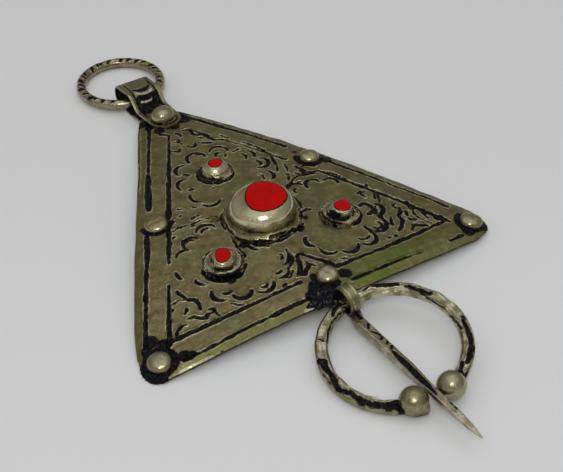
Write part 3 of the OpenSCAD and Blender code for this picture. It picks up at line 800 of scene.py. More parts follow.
# Other scorched patches: x, y, radius, strength
SCORCHES: tuple[Row, ...] = (
    # upper right and right rivets
    (25.8, 37.8, 1.9, 1.0), (19.4, 41.8, 1.5, 1.0), (20.4, 44.6, 1.0, 0.9), (40.2, -2.4, 2.2, 1.1),
    (45.8, -2.2, 2.4, 1.1), (46.6, 2.6, 1.8, 1.0),
    # lower rivet and the solder's scorch
    (-2.6, -1.0, 2.9, 1.3), (-4.6, -3.2, 2.8, 1.3), (-1.6, -3.8, 3.2, 1.3), (-0.6, 1.8, 1.3, 1.0),
    (0.6, -3.0, 2.2, 1.1), (5.2, -0.6, 2.2, 1.0), (3.6, 4.3, 1.4, 0.7), (-2.9, 4.2, 1.2, 0.7),
    # left and upper left rivets
    (-41.4, 5.8, 2.4, 1.2), (-39.3, 3.6, 2.0, 1.2), (-37.2, -1.7, 1.9, 1.2), (-35.6, -2.4, 1.4, 1.0),
    (-44.0, -3.4, 2.4, 1.2), (-46.4, 0.8, 2.0, 1.2), (-46.2, -1.8, 2.2, 1.2), (-43.6, 4.5, 1.7, 1.1),
    (-19.6, 36.8, 1.2, 0.9),
    # round the strap's end
    (-5.2, 78.8, 2.2, 1.1), (-5.0, 76.0, 1.7, 1.0), (-3.8, 72.8, 2.0, 1.0), (0.6, 72.4, 1.8, 1.0),
    (4.4, 74.2, 2.4, 1.2), (6.0, 77.0, 2.2, 1.1), (5.6, 80.0, 1.6, 1.0),
    # solder round the settings
    (12.0, 16.4, 2.1, 1.1), (13.2, 14.0, 1.6, 1.0), (12.2, 19.4, 1.3, 0.8), (18.9, 14.4, 1.4, 1.0),
    (-17.8, 11.6, 2.0, 0.8), (-20.6, 13.6, 1.5, 0.7), (-10.6, 31.6, 2.2, 0.5), (-9.4, 19.8, 1.9, 0.6),
    (4.6, 17.8, 1.8, 0.9), (8.0, 20.4, 1.4, 0.6), (37.0, 5.0, 1.4, 0.9),
)


@dataclass(frozen=True)
class SheetPlaces:
    """Points of the flat sheet, and how they lie to its outline."""

    x: np.ndarray
    y: np.ndarray
    z: np.ndarray
    upper: np.ndarray
    inset: np.ndarray
    nearest: np.ndarray

    def painted_shade_edge(self, depth: float) -> np.ndarray:
        """Whether each point lies that near to the outline of the lower side and its corners, where the
        edge is painted dark as shade.
        """
        return (self.inset < depth) & (self.y < 2)


@dataclass
class ChasedSheet:
    """Crowned triangular sheet with its chased border, rosettes and corner scrolls."""

    crown: Crown
    stud_span: float = 85.0
    stud_rise: float = 79.0
    rim: float = SHEET_RIM
    corner_r: float = 6.8
    thickness: float = 1.1
    pitch: float = 0.34
    # chisel: border lines from the rivets' lines, depth and lips of a stroke, waver and weight of the hand
    outer_line: float = 3.0
    inner_line: float = -2.2
    stroke_depth: float = 0.26
    lip_height: float = 0.09
    waver: float = 0.10
    bolder: float = 0.03
    # hammer: fall of the rim and of its edge, rise of the border band, depth of wide and of small dents
    rim_fall: float = 0.42
    edge_fall: float = 0.22
    band_rise: float = 0.12
    wide_dents: float = 0.055
    small_dents: float = 0.035
    # outline: bow of the sides, ends of the lower side and lower end of the left side drawn in, apex out
    bow: float = 0.4
    lower_in: float = 0.6
    left_in: float = 0.8
    apex_out: float = 0.5
    uneven: float = 0.12
    # knocked corners: left (-1) or right (1), push outwards, direction in degrees and its spread
    knocks: tuple[Row, ...] = (
        (-1, -0.95, 162, 24), (-1, 0.6, 220, 20), (1, 0.4, 328, 14), (1, -0.7, 292, 26),
        (-1, -0.6, 264, 16),
    )
    # painted highlights on stretches of the lower edge: x, y, radius and strength
    painted_glints: tuple[Row, ...] = ((-38.0, -4.8, 2.6, 1.0), (-34.0, -5.0, 2.6, 0.8), (-7.4, -4.6, 1.9, 1.0))

    def corners(self) -> tuple[Vector, Vector, Vector]:
        """Left, apex and right corner of the rivets' triangle."""
        return (
            Vector((-self.stud_span / 2, 0)), Vector((0, self.stud_rise)), Vector((self.stud_span / 2, 0))
        )

    def cuts(self) -> list[tuple[Vector, Vector]]:
        """Cutting lines of the outline.

        Returns:
            A point of each line and the direction that is cut away: three sides, then the round corners.
        """
        left, apex, right = self.corners()
        lean = math.atan2(self.stud_span / 2, self.stud_rise)
        out_left = Vector((-math.cos(lean), math.sin(lean)))
        out_right = Vector((math.cos(lean), math.sin(lean)))
        down = Vector((0, -1))
        lines = [
            (left + out_left * self.rim, out_left), (right + out_right * self.rim, out_right),
            (left + down * self.rim, down),
        ]
        inset_y = self.corner_r - self.rim
        inset_x = inset_y / math.tan(math.pi / 4 - lean / 2)
        middles = (
            (Vector((left.x + inset_x, inset_y)), 180 - math.degrees(lean), 270),
            (Vector((right.x - inset_x, inset_y)), -90, math.degrees(lean)),
            (Vector((0, apex.y - inset_y / math.sin(lean))), math.degrees(lean), 180 - math.degrees(lean)),
        )
        for middle, start, end in middles:
            steps = int((end - start) / 9)
            for i in range(1, steps):
                angle = math.radians(start + (end - start) * i / steps)
                normal = Vector((math.cos(angle), math.sin(angle)))
                lines.append((middle + normal * self.corner_r, normal))
        return lines

    def blank(self) -> bmesh.types.BMesh:
        """Flat sheet, cut to its outline and given its thickness below z = 0."""
        size = self.stud_span + 3 * self.rim, self.stud_rise + 3 * self.rim
        return cut_sheet(size, (0, self.stud_rise / 2), self.pitch, self.cuts(), self.thickness)

    def inset(self, x: np.ndarray, y: np.ndarray) -> tuple[np.ndarray, np.ndarray]:
        """Distance of each point from the outline.

        Args:
            x: First coordinate of each point.
            y: Second coordinate of each point.

        Returns:
            The distance, and the number of the nearest cutting line.
        """
        away = np.array([(p.x - x) * n.x + (p.y - y) * n.y for p, n in self.cuts()])
        return away.min(axis=0), away.argmin(axis=0)

    def line_runs(self) -> list[Stroke]:
        """The wavering black lines along each side, as the chisel left them."""
        corners = self.corners()
        offsets = {Line.OUTER: self.outer_line, Line.INNER: self.inner_line}
        strokes = []
        for (side, line), runs in LINE_RUNS.items():
            start, end = corners[side], corners[(side + 1) % len(corners)]
            run = end - start
            out = Vector((-run.y, run.x)).normalized()
            for rows in runs:
                points = [start + run * share + out * (offsets[line] - shift) for share, _, shift in rows]
                strokes.append(Stroke(tuple((p.x, p.y, row[1]) for p, row in zip(points, rows))))
        return strokes

    def scorches(self) -> list[Row]:
        """Scorched patches round the rivets and the solder: x, y, radius, strength."""
        rows = []
        for x, y, radius, first, last, size in SCORCHED_RINGS:
            for degree in range(first, last + 1, 15):
                angle = math.radians(degree)
                rows.append((x + radius * math.cos(angle), y + radius * math.sin(angle), size, 0.98))
        return [*rows, *SCORCHES]

    def ink(self, at: SheetPlaces) -> np.ndarray:
        """Signed distance to the strokes, the line along the left edge and the lower edge's painted shade.

        Args:
            at: The sheet's points.

        Returns:
            Millimetres, as they hold on the upper face.
        """
        x, y = at.x, at.y
        strokes = [*self.line_runs(), *(Stroke.arc(*row) for row in CRESCENTS), *map(Stroke, SCROLLS)]
        waver_x, waver_y = x + self.waver * ripple(x, y, 2.2, 3), y + self.waver * ripple(x, y, 2.2, 4)
        ink = stroke_distance(waver_x, waver_y, strokes)
        ink += 0.05 * ripple(x, y, 1.3, 5) + 0.10 * ripple(x, y, 3.6, 11) - self.bolder
        edge_line = np.abs(at.inset - 0.2) - 0.12 + 0.12 * ripple(x, y, 3.0, 10)
        beside_apex = (at.nearest == Side.LEFT) & (y > 52)
        ink = np.where(beside_apex, np.minimum(ink, edge_line), ink)
        # The border of the lower edge is painted dark as shade
        return np.where(at.painted_shade_edge(0.1), np.minimum(ink, 0.12), ink)

    def paint(self, work: Workpiece, at: SheetPlaces, ink: np.ndarray) -> None:
        """Fills the sheet's fields.

        Args:
            work: The sheet.
            at: Its points.
            ink: Signed distance to its strokes.
        """
        x, y, inset = at.x, at.y, at.inset
        # The wall along the lower edge is painted black as shade
        work.ink = np.where(at.upper, ink, np.where(at.painted_shade_edge(0.3), -0.25, NO_INK))
        soot = blotches(x, y, self.scorches()) + 0.16 * soft_step(inset, 1.2, 0.2)
        work.soot = np.where(at.upper, soot, 0.25 + 0.2 * ripple(x, y, 20, 6))
        edges = 0.2 * soft_step(inset, 3.0, 1.0)
        patches = 0.5 + 0.5 * soft_step(ripple(x * 0.5, y, 5.0, 12), -0.6, 0.8)
        right_end = soft_step(y, 2.4, 0.9) * soft_step(x, 3.0, 8.0) * soft_step(x, 44.0, 14.0)
        left_end = 0.4 * soft_step(y, -2.6, -4.0) * soft_step(x, -5.0, -9.0) * soft_step(x, -44, -30)
        green = patches * (0.25 + 0.75 * right_end) * (right_end > 0) + left_end
        work.stain = np.where(at.upper, np.clip(np.maximum(edges, green), 0, 1), 0.1)
        # Painted highlights along the lower edge, added to the rubbed share
        painted_glints = blotches(x, y, self.painted_glints) * soft_step(inset, 0.9, 0.4)
        rubbed = 0.12 + 0.3 * soft_step(inset, 0.9, 0.2) + painted_glints
        work.shine = np.where(at.upper, rubbed, 0.1)

    def relief(self, at: SheetPlaces, ink: np.ndarray) -> np.ndarray:
        """How far the chisel and the hammer move each point up.

        Args:
            at: The sheet's points.
            ink: Signed distance to its strokes.

        Returns:
            Millimetres, mostly below zero.
        """
        inset = at.inset
        groove = -self.stroke_depth * soft_step(ink, 0.16, -0.22)
        lip = self.lip_height * soft_step(ink, 0.08, 0.30) * soft_step(ink, 0.75, 0.38)
        rim = -self.rim_fall * soft_step(inset, 2.6, 0.0) - self.edge_fall * soft_step(inset, 0.5, 0.0)
        band = self.band_rise * soft_step(inset, 3.2, 4.2) * soft_step(inset, 7.4, 6.4)
        dents = self.wide_dents * ripple(at.x, at.y, 6.5, 7) + self.small_dents * ripple(at.x, at.y, 2.6, 8)
        return np.where(at.upper, groove + lip + rim + band + dents, np.abs(dents) + 0.06)

    def push(self, at: SheetPlaces, normals: np.ndarray) -> np.ndarray:
        """How far each point near the outline stands out from its straight cut.

        Args:
            at: The sheet's points.
            normals: Direction of the nearest cut at each point.

        Returns:
            Millimetres, which fade out away from the outline.
        """
        x, y = at.x, at.y
        half_span, half_rise = self.stud_span / 2, self.stud_rise / 2
        on_side, on_lower = at.nearest <= Side.LOWER, at.nearest == Side.LOWER
        share = np.clip(np.where(on_lower, x / half_span, (y - half_rise) / half_rise), -1, 1)
        bowed = self.bow * (1 - share**2) * on_side - self.lower_in * share**2 * on_lower
        bowed -= self.left_in * soft_step(y, 14.0, 0.0) * (at.nearest == Side.LEFT)
        facing = np.degrees(np.arctan2(normals[:, 1], normals[:, 0])) % 360
        corner = np.zeros(len(x))
        for end, amount, way, spread in self.knocks:
            at_end = ~on_side & (y < 20) & (x * end > 0)
            corner += at_end * amount * np.exp(-(((facing - way) / spread) ** 2))
        corner += self.apex_out * soft_step(y, 58.0, 76.0) * (normals[:, 0] < -0.5)
        trimmed = np.where(on_side, self.uneven * ripple(x, y, 9.0, 9) - 0.1, -0.1)
        return (bowed + corner + trimmed) * soft_step(at.inset, 2.4, 0.0)

    def build(self, material: bpy.types.Material) -> None:
        """Cuts, chases and crowns the sheet.

        Args:
            material: Its finish.
        """
        work = Workpiece("chased_sheet", self.blank())
        x, y, z = work.places.T.copy()
        inset, nearest = self.inset(x, y)
        at = SheetPlaces(x, y, z, z > -self.thickness / 2, inset, nearest)
        ink = self.ink(at)
        self.paint(work, at, ink)
        normals = np.array([(n.x, n.y) for _, n in self.cuts()])[nearest]
        push = self.push(at, normals)
        x, y = x + normals[:, 0] * push, y + normals[:, 1] * push
        y = self.crown.drawn(x, y)
        work.places = np.stack([x, y, self.crown.height(x, y) + z + self.relief(at, ink)], 1)
        work.finish(Body.BROOCH, Slot.PLATE, material, ["plate"])


@dataclass
class Setting:
    """Soldered boss or dome with its red stone, standing on the crown."""

    name: str
    x: float
    y: float
    brim_r: float
    brim_h: float
    ball_r: float
    ball_z: float
    stone_r: float
    seat_z: float
    top_z: float
    marks: tuple[Row, ...]
    # egg shape of the stone: stretch, its direction, shift in x and y, oval and growth
    egg: Row = (0.03, 0.0, 0.0, 0.0, 0.0, 0.0)
    stone_gap: float = 0.05
    clip: float = 0.4
    flare_r: float = 1.2
    sunk: float = 0.4
    steps: int = 128
    # fullness of the side, fall of the foot into the sheet, and the foot's soot and loss of shine
    belly: float = 0.0
    foot_fall: float = 0.0
    foot_soot: float = 0.16
    foot_dull: float = 0.55
    # directions of the foot's painted shade and of the stone's oval, in degrees
    painted_shade_way: float = 225.0
    oval_way: float = 58.5

    def lip(self) -> tuple[float, float]:
        """Radius and height where the ball is cut for the stone."""
        bore = self.stone_r + self.stone_gap
        level = min(self.top_z - self.clip, self.ball_z + math.sqrt(self.ball_r**2 - bore**2))
        return math.sqrt(self.ball_r**2 - (level - self.ball_z) ** 2), level

    def profile(self) -> list[Row]:
        """Radius and height from the seat's middle, over the ball and the brim, to the underside."""
        bore = self.stone_r + self.stone_gap
        lip_r, lip_z = self.lip()
        join_z = self.brim_h + self.flare_r
        top = math.degrees(math.acos(min(1.0, lip_r / self.ball_r)))
        ball_at = math.degrees(math.asin((join_z - self.ball_z) / self.ball_r))
        rows = [(0, self.seat_z), (bore, self.seat_z), (bore, lip_z)]
        rows += arc_rows((0, self.ball_z), self.ball_r, top, ball_at, 24)
        ball_foot = self.ball_r * math.cos(math.radians(ball_at))
        steps = 9
        for i in range(1, steps + 1):
            angle = math.pi / 2 * i / steps
            rows.append((
                ball_foot + (self.brim_r - ball_foot) * (1 - math.cos(angle)),
                join_z - (join_z - self.brim_h) * math.sin(angle),
            ))
        rows += [(self.brim_r, self.brim_h * 0.4), (self.brim_r, -self.sunk), (0, -self.sunk)]
        return rows

    def warped(self, x: np.ndarray, y: np.ndarray, share: np.ndarray) -> tuple[np.ndarray, np.ndarray]:
        """Draws circles round the seat out to the stone's egg shape.

        Args:
            x: First coordinate of each point, from the setting's middle.
            y: Second coordinate of each point.
            share: How far each point follows, 0 to 1.

        Returns:
            The new coordinates.
        """
        stretch, way, move_x, move_y, oval, larger = self.egg
        angle = np.arctan2(y, x) - math.radians(way)
        longer = np.arctan2(y, x) - math.radians(self.oval_way)
        egg = stretch * (np.cos(angle) + 0.4 * np.cos(2 * angle) + 0.9 * np.cos(3 * angle))
        grow = 1 + share * (egg + oval * np.cos(2 * longer) + larger)
        return x * grow + share * move_x, y * grow + share * move_y

    def build(self, crown: Crown, silver: bpy.types.Material) -> None:
        """Turns the metal and stands it on the crown.

        Args:
            crown: The plate's crown.
            silver: Its finish.
        """
        work = Workpiece(f"{self.name}_dome", turned_blank(self.profile(), self.steps))
        x, y, z = work.places.T.copy()
        radius, angle = np.hypot(x, y), np.arctan2(y, x)
        seed = int(self.x * 10) + 300
        join_z, lip_z = self.brim_h + self.flare_r, self.lip()[1]
        ball_foot = math.sqrt(self.ball_r**2 - (join_z - self.ball_z) ** 2)
        outside = radius > self.stone_r + 0.1
        foot = soft_step(radius, ball_foot - 0.5, ball_foot + 0.3)
        ink = stroke_distance(
            x + 0.10 * ripple(x, y, 1.6, seed + 2), y + 0.10 * ripple(x, y, 1.6, seed + 3),
            [Stroke.arc(0, 0, *row) for row in self.marks],
        )
        work.ink = np.where(outside & (z < join_z + 1.5), ink, NO_INK)
        painted_shade_side = soft_step(np.cos(angle - math.radians(self.painted_shade_way)), -0.2, 1.0)
        # Dark foot, darker still on one side as painted shade
        work.soot = np.where(outside, foot * self.foot_soot * (1 + painted_shade_side), 0.8)
        work.shine = np.where(outside, 0.95 - self.foot_dull * foot, 0)
        work.stain = 0.4 * soft_step(radius, self.stone_r + 1.8, self.stone_r + 0.4) * outside
        wavy = 0.05 * ripple(x, y, self.ball_r * 0.9, seed) - 0.16 * soft_step(ink, 0.1, -0.2) * foot
        brim = soft_step(radius, self.brim_r - 0.4, self.brim_r)
        ragged = 0.16 * brim * ripple(angle * self.brim_r, z, 2.4, seed + 1)
        share = np.clip((radius - self.stone_r) / (ball_foot - self.stone_r), 0, 1)
        wavy += 0.016 * self.ball_r * np.sin(math.pi * share) * (z > join_z)
        side = soft_step(z, self.brim_h + 0.1, self.brim_h + 2.2)
        side *= soft_step(z, lip_z, 0.45 * lip_z + 0.55 * join_z)
        wavy += self.belly * self.ball_r * side
        z = z - self.foot_fall * soft_step(radius, self.brim_r - 1.3, self.brim_r) * (z > 0.1)
        grow = 1 + (wavy * outside + ragged) / np.maximum(radius, 1.0)
        x, y = self.warped(x * grow, y * grow, soft_step(radius, self.ball_r * 0.97, self.stone_r + 0.1))
        work.places = np.stack([x, y, z + wavy * outside * 0.6], 1)
        work.stand(crown.stand(self.x, self.y))
        work.finish(Body.BROOCH, Slot.PLATE, silver, ["plate"])

    def set_stone(self, crown: Crown, red: bpy.types.Material) -> None:
        """Shapes the stone and sets it in its seat.

        Args:
            crown: The plate's crown.
            red: Its finish.
        """
        edge_z = self.lip()[1] + 0.02
        rise = max(self.top_z - 0.02 - edge_z, 0.25)
        ball = (self.stone_r**2 + rise**2) / (2 * rise)
        side = math.degrees(math.asin(self.stone_r / ball))
        rows = [(0, self.seat_z + 0.05), (self.stone_r, self.seat_z + 0.05), (self.stone_r, edge_z - 0.12)]
        rows += arc_rows((0, edge_z + rise - ball), ball, 90 - side * 0.97, 90, 14)
        work = Workpiece(f"{self.name}_stone", turned_blank(rows, 96))
        x, y, z = work.places.T.copy()
        radius = np.hypot(x, y)
        work.soot = soft_step(radius, self.stone_r * 0.93, self.stone_r) * (z > self.seat_z + 0.2)
        x, y = self.warped(x, y, np.ones(len(x)))
        work.places = np.stack([x, y, z], 1)
        work.stand(crown.stand(self.x, self.y))
        work.finish(Body.BROOCH, Slot.STONE, red, [f"{self.name}_stone"])


@dataclass
class Rivet:
    """Domed rivet with its shank and flattened back head."""

    name: str
    x: float
    y: float
    head_d: float
    head_h: float
    strap: float = 0.0
    sheet: float = 1.1
    shank_r: float = 1.0
    back_r: float = 1.6
    back_h: float = 0.4
    seat_gap: float = 0.05
    # roundness of the head's shoulder, tip of its top, loss of shine, and the painted highlight on its
    # lower rim with its direction
    fullness: float = 2.5
    tip_x: float = 0.0
    tip_y: float = 0.0
    dull: float = 0.0
    painted_highlight: float = 0.0
    painted_highlight_way: float = 238.0
    seed: int = 1

    def profile(self, top: float) -> list[Row]:
        """Radius and height from the back head's middle, over the shank, to the top of the head.

        Args:
            top: Height that the head lies at.

        Returns:
            The points.
        """
        head_r, bevel = self.head_d / 2, 0.15
        bottom = -self.sheet - self.strap - self.seat_gap
        rows = [
            (0, bottom - self.back_h), (self.back_r - bevel, bottom - self.back_h),
            (self.back_r, bottom - self.back_h + bevel), (self.back_r, bottom), (self.shank_r, bottom),
            (self.shank_r, top), (head_r - 0.06, top),
        ]
        steps = 18
        for i in range(1, steps + 1):
            angle = math.pi / 2 * i / steps
            out, up = math.cos(angle) ** (2 / self.fullness), math.sin(angle) ** (2 / self.fullness)
            rows.append((head_r * out if i < steps else 0, top + self.head_h * up))
        return rows

    def build(self, crown: Crown, silver: bpy.types.Material) -> None:
        """Turns the rivet and stands it on the crown.

        Args:
            crown: The plate's crown.
            silver: Its finish.
        """
        head_r = self.head_d / 2
        top = self.strap + self.seat_gap
        work = Workpiece(f"{self.name}_rivet", turned_blank(self.profile(top), 72))
        x, y, z = work.places.T.copy()
        radius = np.hypot(x, y)
        head = soft_step(z, top - 0.02, top + 0.3)
        front = z > top - 0.01
        edge = soft_step(radius, head_r * 0.84, head_r) * front
        seat = 0.50 * soft_step(z, top + 0.45, top + 0.05) + 0.1
        work.soot = np.where(front, seat, 0.5)
        work.shine = 0.75 * head * (1 - 0.5 * edge) * (1 - self.dull)
        # Painted highlight on the side of the rim that faces the lamp
        lower_side = soft_step(np.cos(np.arctan2(y, x) - math.radians(self.painted_highlight_way)), 0.0, 0.8)
        near_rim = soft_step(np.abs(radius - head_r * 0.93), 0.4, 0.15)
        work.shine += self.painted_highlight * near_rim * lower_side
        dent = 0.07 * ripple(x, y, 2.6, self.seed) + x * self.tip_x + y * self.tip_y
        out = 1 + 0.035 * ripple(x / head_r * 2, y / head_r * 2, 3.2, self.seed + 9)
        work.places = np.stack([x * out, y * out, z + dent * head], 1)
        work.stand(crown.stand(self.x, self.y))
        work.finish(Body.BROOCH, Slot.STUD, silver, [f"{self.name}_stud"])


@dataclass
class Bail:
    """Folded strap round the apex, punched with two crescents between border lines."""

    crown: Crown
    thickness: float = 0.7
    width: float = 9.2
    end_width: float = 8.7
    lay_gap: float = 0.1
    front_y: float = 71.0
    bend_y: float = 84.8
    end_y: float = 77.1
    crest: Row = (88.4, 6.4)
    fold: Row = (97.2, 4.9)
    back_y: float = 88.6
    sheet: float = 1.1
    pitch: float = 0.28
    # raised crescents: run and side of the middle, radius, its fade, last run, middle and fade across
    beads: tuple[Row, ...] = (
        (21.6, 0.3, 3.6, 0.55, 0.2, 19.4, 0.0, 2.8, 2.4),
        (18.9, -0.35, 3.4, 0.4, 0.15, 16.8, -0.35, 2.0, 1.5),
    )

    def rows(self) -> list[Row]:
        """Corner points of the strap's middle line in the Y-Z plane, with each bend's radius."""
        lay = self.thickness / 2 + self.lay_gap
        front, bend = (float(self.crown.height(0.0, y)) for y in (self.front_y, self.bend_y))
        return [
            (self.front_y, front + lay, 0), (self.bend_y, bend + lay, 2.2), (*self.crest, 3.0),
            (*self.fold, 2.1), (self.fold[0], self.thickness / 2, 2.1),
            (self.back_y, self.thickness / 2, 4.0), (self.bend_y, bend - self.sheet - lay, 4.0),
            (self.front_y, front - self.sheet - lay, 0),
        ]

    def middle_line(self) -> tuple[np.ndarray, np.ndarray]:
        """Bends the middle line.

        Returns:
            The length run so far at each place, and its y, z and the direction to its left.
        """
        rows = self.rows()
        steps = 10
        corners = [Vector(row[:2]) for row in rows]
        heads = [(b - a).normalized() for a, b in zip(corners, corners[1:])]
        places = [(corners[0], heads[0].orthogonal())]
        for i in range(1, len(rows) - 1):
            before, after = heads[i - 1], heads[i]
            turn = -before.angle_signed(after)
            radius = math.copysign(rows[i][2], turn)
            start = corners[i] - before * radius * math.tan(turn / 2)
            middle = start + radius * before.orthogonal()
            for k in range(steps + 1):
                spin = Matrix.Rotation(turn * k / steps, 2)
                places.append((middle + spin @ (start - middle), spin @ before.orthogonal()))
        places.append((corners[-1], heads[-1].orthogonal()))
        table = np.array([(*point, *left) for point, left in places])
        runs = np.hypot(*np.diff(table[:, :2], axis=0).T)
        return np.concatenate([[0], np.cumsum(runs)]), table

    def marks(self) -> list[Stroke]:
        """Border lines, crescents and the line round the rivet: run, side and half width."""
        rivet = self.end_y - self.front_y
        rows = (
            ((9.0, -3.5, 0.16), (14.0, -3.4, 0.24), (18.6, -3.2, 0.2), (23.0, -2.9, 0.16),
             (25.4, -2.8, 0.1)),
            ((9.0, 3.5, 0.2), (14.0, 3.3, 0.26), (18.6, 3.2, 0.22), (22.0, 3.3, 0.24),
             (25.0, 3.7, 0.14)),
            ((26.4, -3.6, 0.1), (26.0, -1.4, 0.24), (25.7, 1.0, 0.16), (25.9, 3.6, 0.14)),
        )
        arcs = ((21.7, 0.1, 2.5, 116, 130, 0.8), (rivet, 0.0, 3.55, 95, 190, 0.3))
        return [Stroke(points) for points in rows] + [Stroke.arc(*row) for row in arcs]

    def blank(self, length: float) -> bmesh.types.BMesh:
        """Flat strip along X, with both ends cut round."""
        round_at = self.end_y - self.front_y
        cuts = []
        for middle, way in ((round_at, -1), (length - round_at, 1)):
            for degree in range(-80, 81, 10):
                angle = math.radians(degree)
                normal = Vector((way * math.cos(angle), math.sin(angle)))
                cuts.append((Vector((middle, 0)) + normal * (self.width / 2), normal))
        return cut_sheet((length, self.width), (length / 2, 0), self.pitch, cuts, self.thickness)

    def build(self, silver: bpy.types.Material) -> None:
        """Cuts the strip, punches it and folds it round the wire.

        Args:
            silver: Its finish.
        """
        runs, table = self.middle_line()
        work = Workpiece("folded_bail", self.blank(float(runs[-1])))
        run, side, z = work.places.T.copy()
        outer = z > -self.thickness / 2
        ink = stroke_distance(run, side, self.marks())
        work.ink = np.where(outer, ink, NO_INK)
        dip = soft_step(run, 9.5, 11.0) * soft_step(run, 18.6, 17.0) * soft_step(np.abs(side), 4.0, 2.8)
        dip *= 0.82 + 0.2 * ripple(run, side, 1.8, 22)
        bead = np.zeros(len(run))
        for at_run, at_side, radius, low, high, last, middle, wide, narrow in self.beads:
            ridge = soft_step(np.abs(np.hypot(run - at_run, side - at_side) - radius), low, high)
            ridge *= (run < last) * soft_step(np.abs(side - middle), wide, narrow)
            bead = np.maximum(bead, ridge)
        inner = 0.65 + 0.2 * ripple(run, side, 4, 20)
        work.soot = np.where(outer, np.maximum(dip * (1 - bead), 0.12), inner)
        edge = soft_step(self.width / 2 - np.abs(side), 0.5, 0.0)
        # Beads rubbed bright; the strap's edges partly rubbed and partly painted highlight
        work.shine = np.where(outer, 0.5 * bead + 0.25 + 0.35 * edge, 0)
        height = -0.2 * soft_step(ink, 0.15, -0.2) + 0.12 * bead - 0.1 * edge
        height += 0.03 * ripple(run, side, 3, 21) - 0.05
        z = z + self.thickness / 2 + np.where(outer, height, 0)
        end_share = soft_step(np.minimum(run, runs[-1] - run), 7.0, 19.0)
        side = side * (self.end_width + (self.width - self.end_width) * end_share) / self.width
        y, level, left_y, left_z = (np.interp(run, runs, column) for column in table.T)
        work.places = np.stack([side, y + left_y * z, level + left_z * z], 1)
        work.finish(Body.BROOCH, Slot.STRAP, silver, ["bail"])


@dataclass
class SuspensionRing:
    """Round wire ring, nicked with slanted chisel marks along its top."""

    x: float = -0.7
    y: float = 90.8
    radius: float = 10.95
    wire_r: float = 1.35
    base_z: float = 0.8

    def marks(self) -> list[Stroke]:
        """Slanted nicks: distance along the ring and round the wire, and half width."""
        rows = (
            (-54, 66, 118, 0.3), (-39, 50, 112, 0.42), (-27, 64, 140, 0.5), (-13, 70, 122, 0.32),
            (-4, 50, 118, 0.5), (7, 58, 124, 0.55), (22, 50, 108, 0.5), (33, 66, 140, 0.42),
            (45, 50, 120, 0.62), (61, 64, 132, 0.5), (77, 70, 128, 0.3), (89, 48, 112, 0.6),
            (99, 66, 128, 0.42), (110, 58, 148, 0.62), (126, 50, 112, 0.6), (135, 70, 132, 0.34),
            (146, 52, 124, 0.66), (158, 66, 146, 0.5), (170, 54, 112, 0.62), (183, 62, 128, 0.46),
            (197, 50, 124, 0.62), (206, 66, 112, 0.34), (218, 56, 130, 0.6), (232, 64, 120, 0.42),
        )
        strokes = []
        for along, start, end, half in rows:
            first = math.radians(along) * self.radius
            lean = 0.9 + 0.5 * math.sin(along)
            strokes.append(Stroke((
                (first, math.radians(start) * self.wire_r, half * 0.6),
                (first + lean * 0.5, math.radians((start + end) / 2) * self.wire_r, half),
                (first + lean, math.radians(end) * self.wire_r, half * 0.5),
            )))
        return strokes

    def build(self, silver: bpy.types.Material) -> None:
        """Bends the wire, nicks it and lays it in the bail.

        Args:
            silver: Its finish.
        """
        walls = 28
        section = arc_rows((self.radius, 0), self.wire_r, 0, 360 - 360 / walls, walls - 1)
        work = Workpiece("hanging_ring", swept_tube(section, 360, 220, True))
        x, y, z = work.places.T.copy()
        along = (np.degrees(np.arctan2(y, x)) + 90) % 360 - 90
        out = np.hypot(x, y) - self.radius
        round_wire = np.arctan2(z, out)
        ink = stroke_distance(
            np.radians(along) * self.radius + 0.06 * ripple(x * 3, y * 3, 4, 30), round_wire * self.wire_r,
            self.marks(),
        )
        work.ink = ink
        work.shine = 0.5 + 0.15 * ripple(x, y, 5, 31)
        work.soot = 0.16 * soft_step(out, 0.0, -1.2) + 0.04
        thin = 1 - 0.10 * soft_step(ink, 0.15, -0.2) - 0.03 * (1 + ripple(x, y, 4, 32)) * 0.5
        grow = (self.radius + out * thin) / (self.radius + out)
        work.places = np.stack([x * grow, y * grow, z * thin], 1)
        z_middle = self.base_z + self.wire_r
        tilt = math.asin((z_middle - self.wire_r) / (2 * self.radius))
        place = Matrix.Translation((self.x, self.y, z_middle)) @ Matrix.Rotation(-tilt, 4, "X")
        work.stand(place @ Matrix.Translation((0, self.radius, 0)))
        work.finish(Body.EYE, Slot.RING, silver, ["suspension_ring"])


def zigzag(values: np.ndarray) -> np.ndarray:
    """Straight ups and downs between -1 and 1, one for each whole number."""
    return 2 * np.abs(2 * (values % 1) - 1) - 1


@dataclass(frozen=True)
class BarPlaces:
    """Points of the bent bar in the ring's frame, and how they lie in it."""

    x: np.ndarray
    y: np.ndarray
    z: np.ndarray
    turn: np.ndarray
    reach: np.ndarray
    out: np.ndarray
    to_ball: np.ndarray
    upper: np.ndarray


